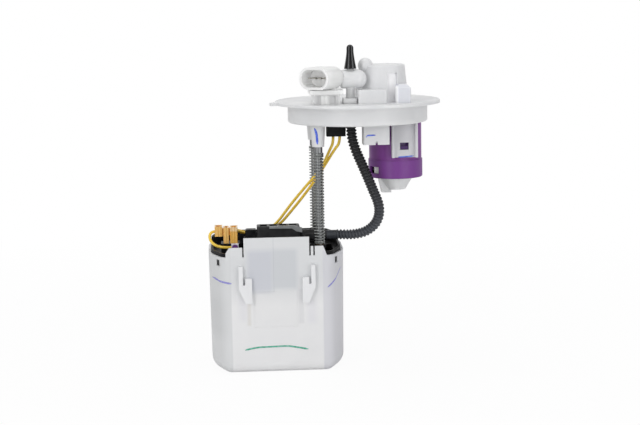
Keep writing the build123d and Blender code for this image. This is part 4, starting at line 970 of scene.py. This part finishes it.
# ---------------------------------------------------------------- felt-pen checks
# Strokes that the fitter draws with a felt pen when a step is done: two and an arc on the
# reservoir's front, one on the rod's boss, one on the regulator's case, one under the arm.
pen_step = 0.0008
pen_reach = 0.1
pen_film = 0.00006
pen_film_width = 0.6
pen_tip_width = 0.35
pen_tip_growth = 0.25
pen_turns = 12
violet_ink = moulding(
    "violet felt pen", (0.17, 0.15, 0.60), (0.38, 0.38, 0.68), 0.35, 0.5, patch=500,
)
green_ink = moulding(
    "green felt pen", (0.02, 0.34, 0.20), (0.20, 0.52, 0.42), 0.35, 0.5, patch=500,
)
blue_ink = moulding(
    "blue felt pen", (0.02, 0.06, 0.62), (0.14, 0.24, 0.80), 0.35, 0.5, patch=500,
)
front_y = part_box("reservoir")[0][1]
backward = Vector((0, 1, 0))


def pen_stroke(name, carrier, width, places):
    """A film of ink on the front of a CAD node, along places given as x and z."""
    line = smooth_line(name + " line", [(x, front_y, z) for x, z in places], pen_turns)
    spots, ways = stations(line, pen_step)
    rows = []
    for number, (spot, along) in enumerate(zip(spots, ways)):
        found, point, normal = nodes[carrier].ray_cast(spot - backward * pen_reach, backward)[:3]
        if not found:
            continue
        beside = normal.cross(along).normalized()
        from_end = min(number, len(spots) - 1 - number)
        half = beside * width / 2 * min(1, pen_tip_width + pen_tip_growth * from_end)
        film = normal * pen_film
        rows.append([
            point + half,
            point + half * pen_film_width + film,
            point - half * pen_film_width + film,
            point - half,
        ])
    return skin(name, rows)


for name, carrier, body, ink, width, places in (
    ("check_stroke_left", "reservoir", "reservoir", violet_ink, 0.0017, (
        (-0.1323, -0.1477), (-0.1274, -0.1483), (-0.1222, -0.1493), (-0.1157, -0.1504),
    )),
    ("check_stroke_right", "reservoir", "reservoir", violet_ink, 0.0014, (
        (-0.0324, -0.1559), (-0.0280, -0.1523), (-0.0241, -0.1485), (-0.0195, -0.1414),
    )),
    ("check_arc", "reservoir", "reservoir", green_ink, 0.0015, (
        (-0.1054, -0.2098), (-0.0965, -0.2076), (-0.0832, -0.2074), (-0.0680, -0.2070),
        (-0.0616, -0.2081), (-0.0501, -0.2104),
    )),
    ("check_stroke_boss", "flange", "flange", blue_ink, 0.0021, (
        (-0.0408, -0.0183), (-0.0392, -0.0221), (-0.0387, -0.0269), (-0.0385, -0.0325),
    )),
    ("check_dash_case", "regulator_case", "flange", blue_ink, 0.0013, (
        (0.0036, -0.0269), (0.0040, -0.0253), (0.0068, -0.0252), (0.0118, -0.0250),
    )),
    ("check_line_arm", "flange", "flange", blue_ink, 0.0011, (
        (0.0330, -0.0466), (0.0370, -0.0466), (0.0420, -0.0463), (0.0470, -0.0459),
    )),
):
    stroke = pen_stroke(name, carrier, width, places)
    finish_piece(stroke, ink, body)
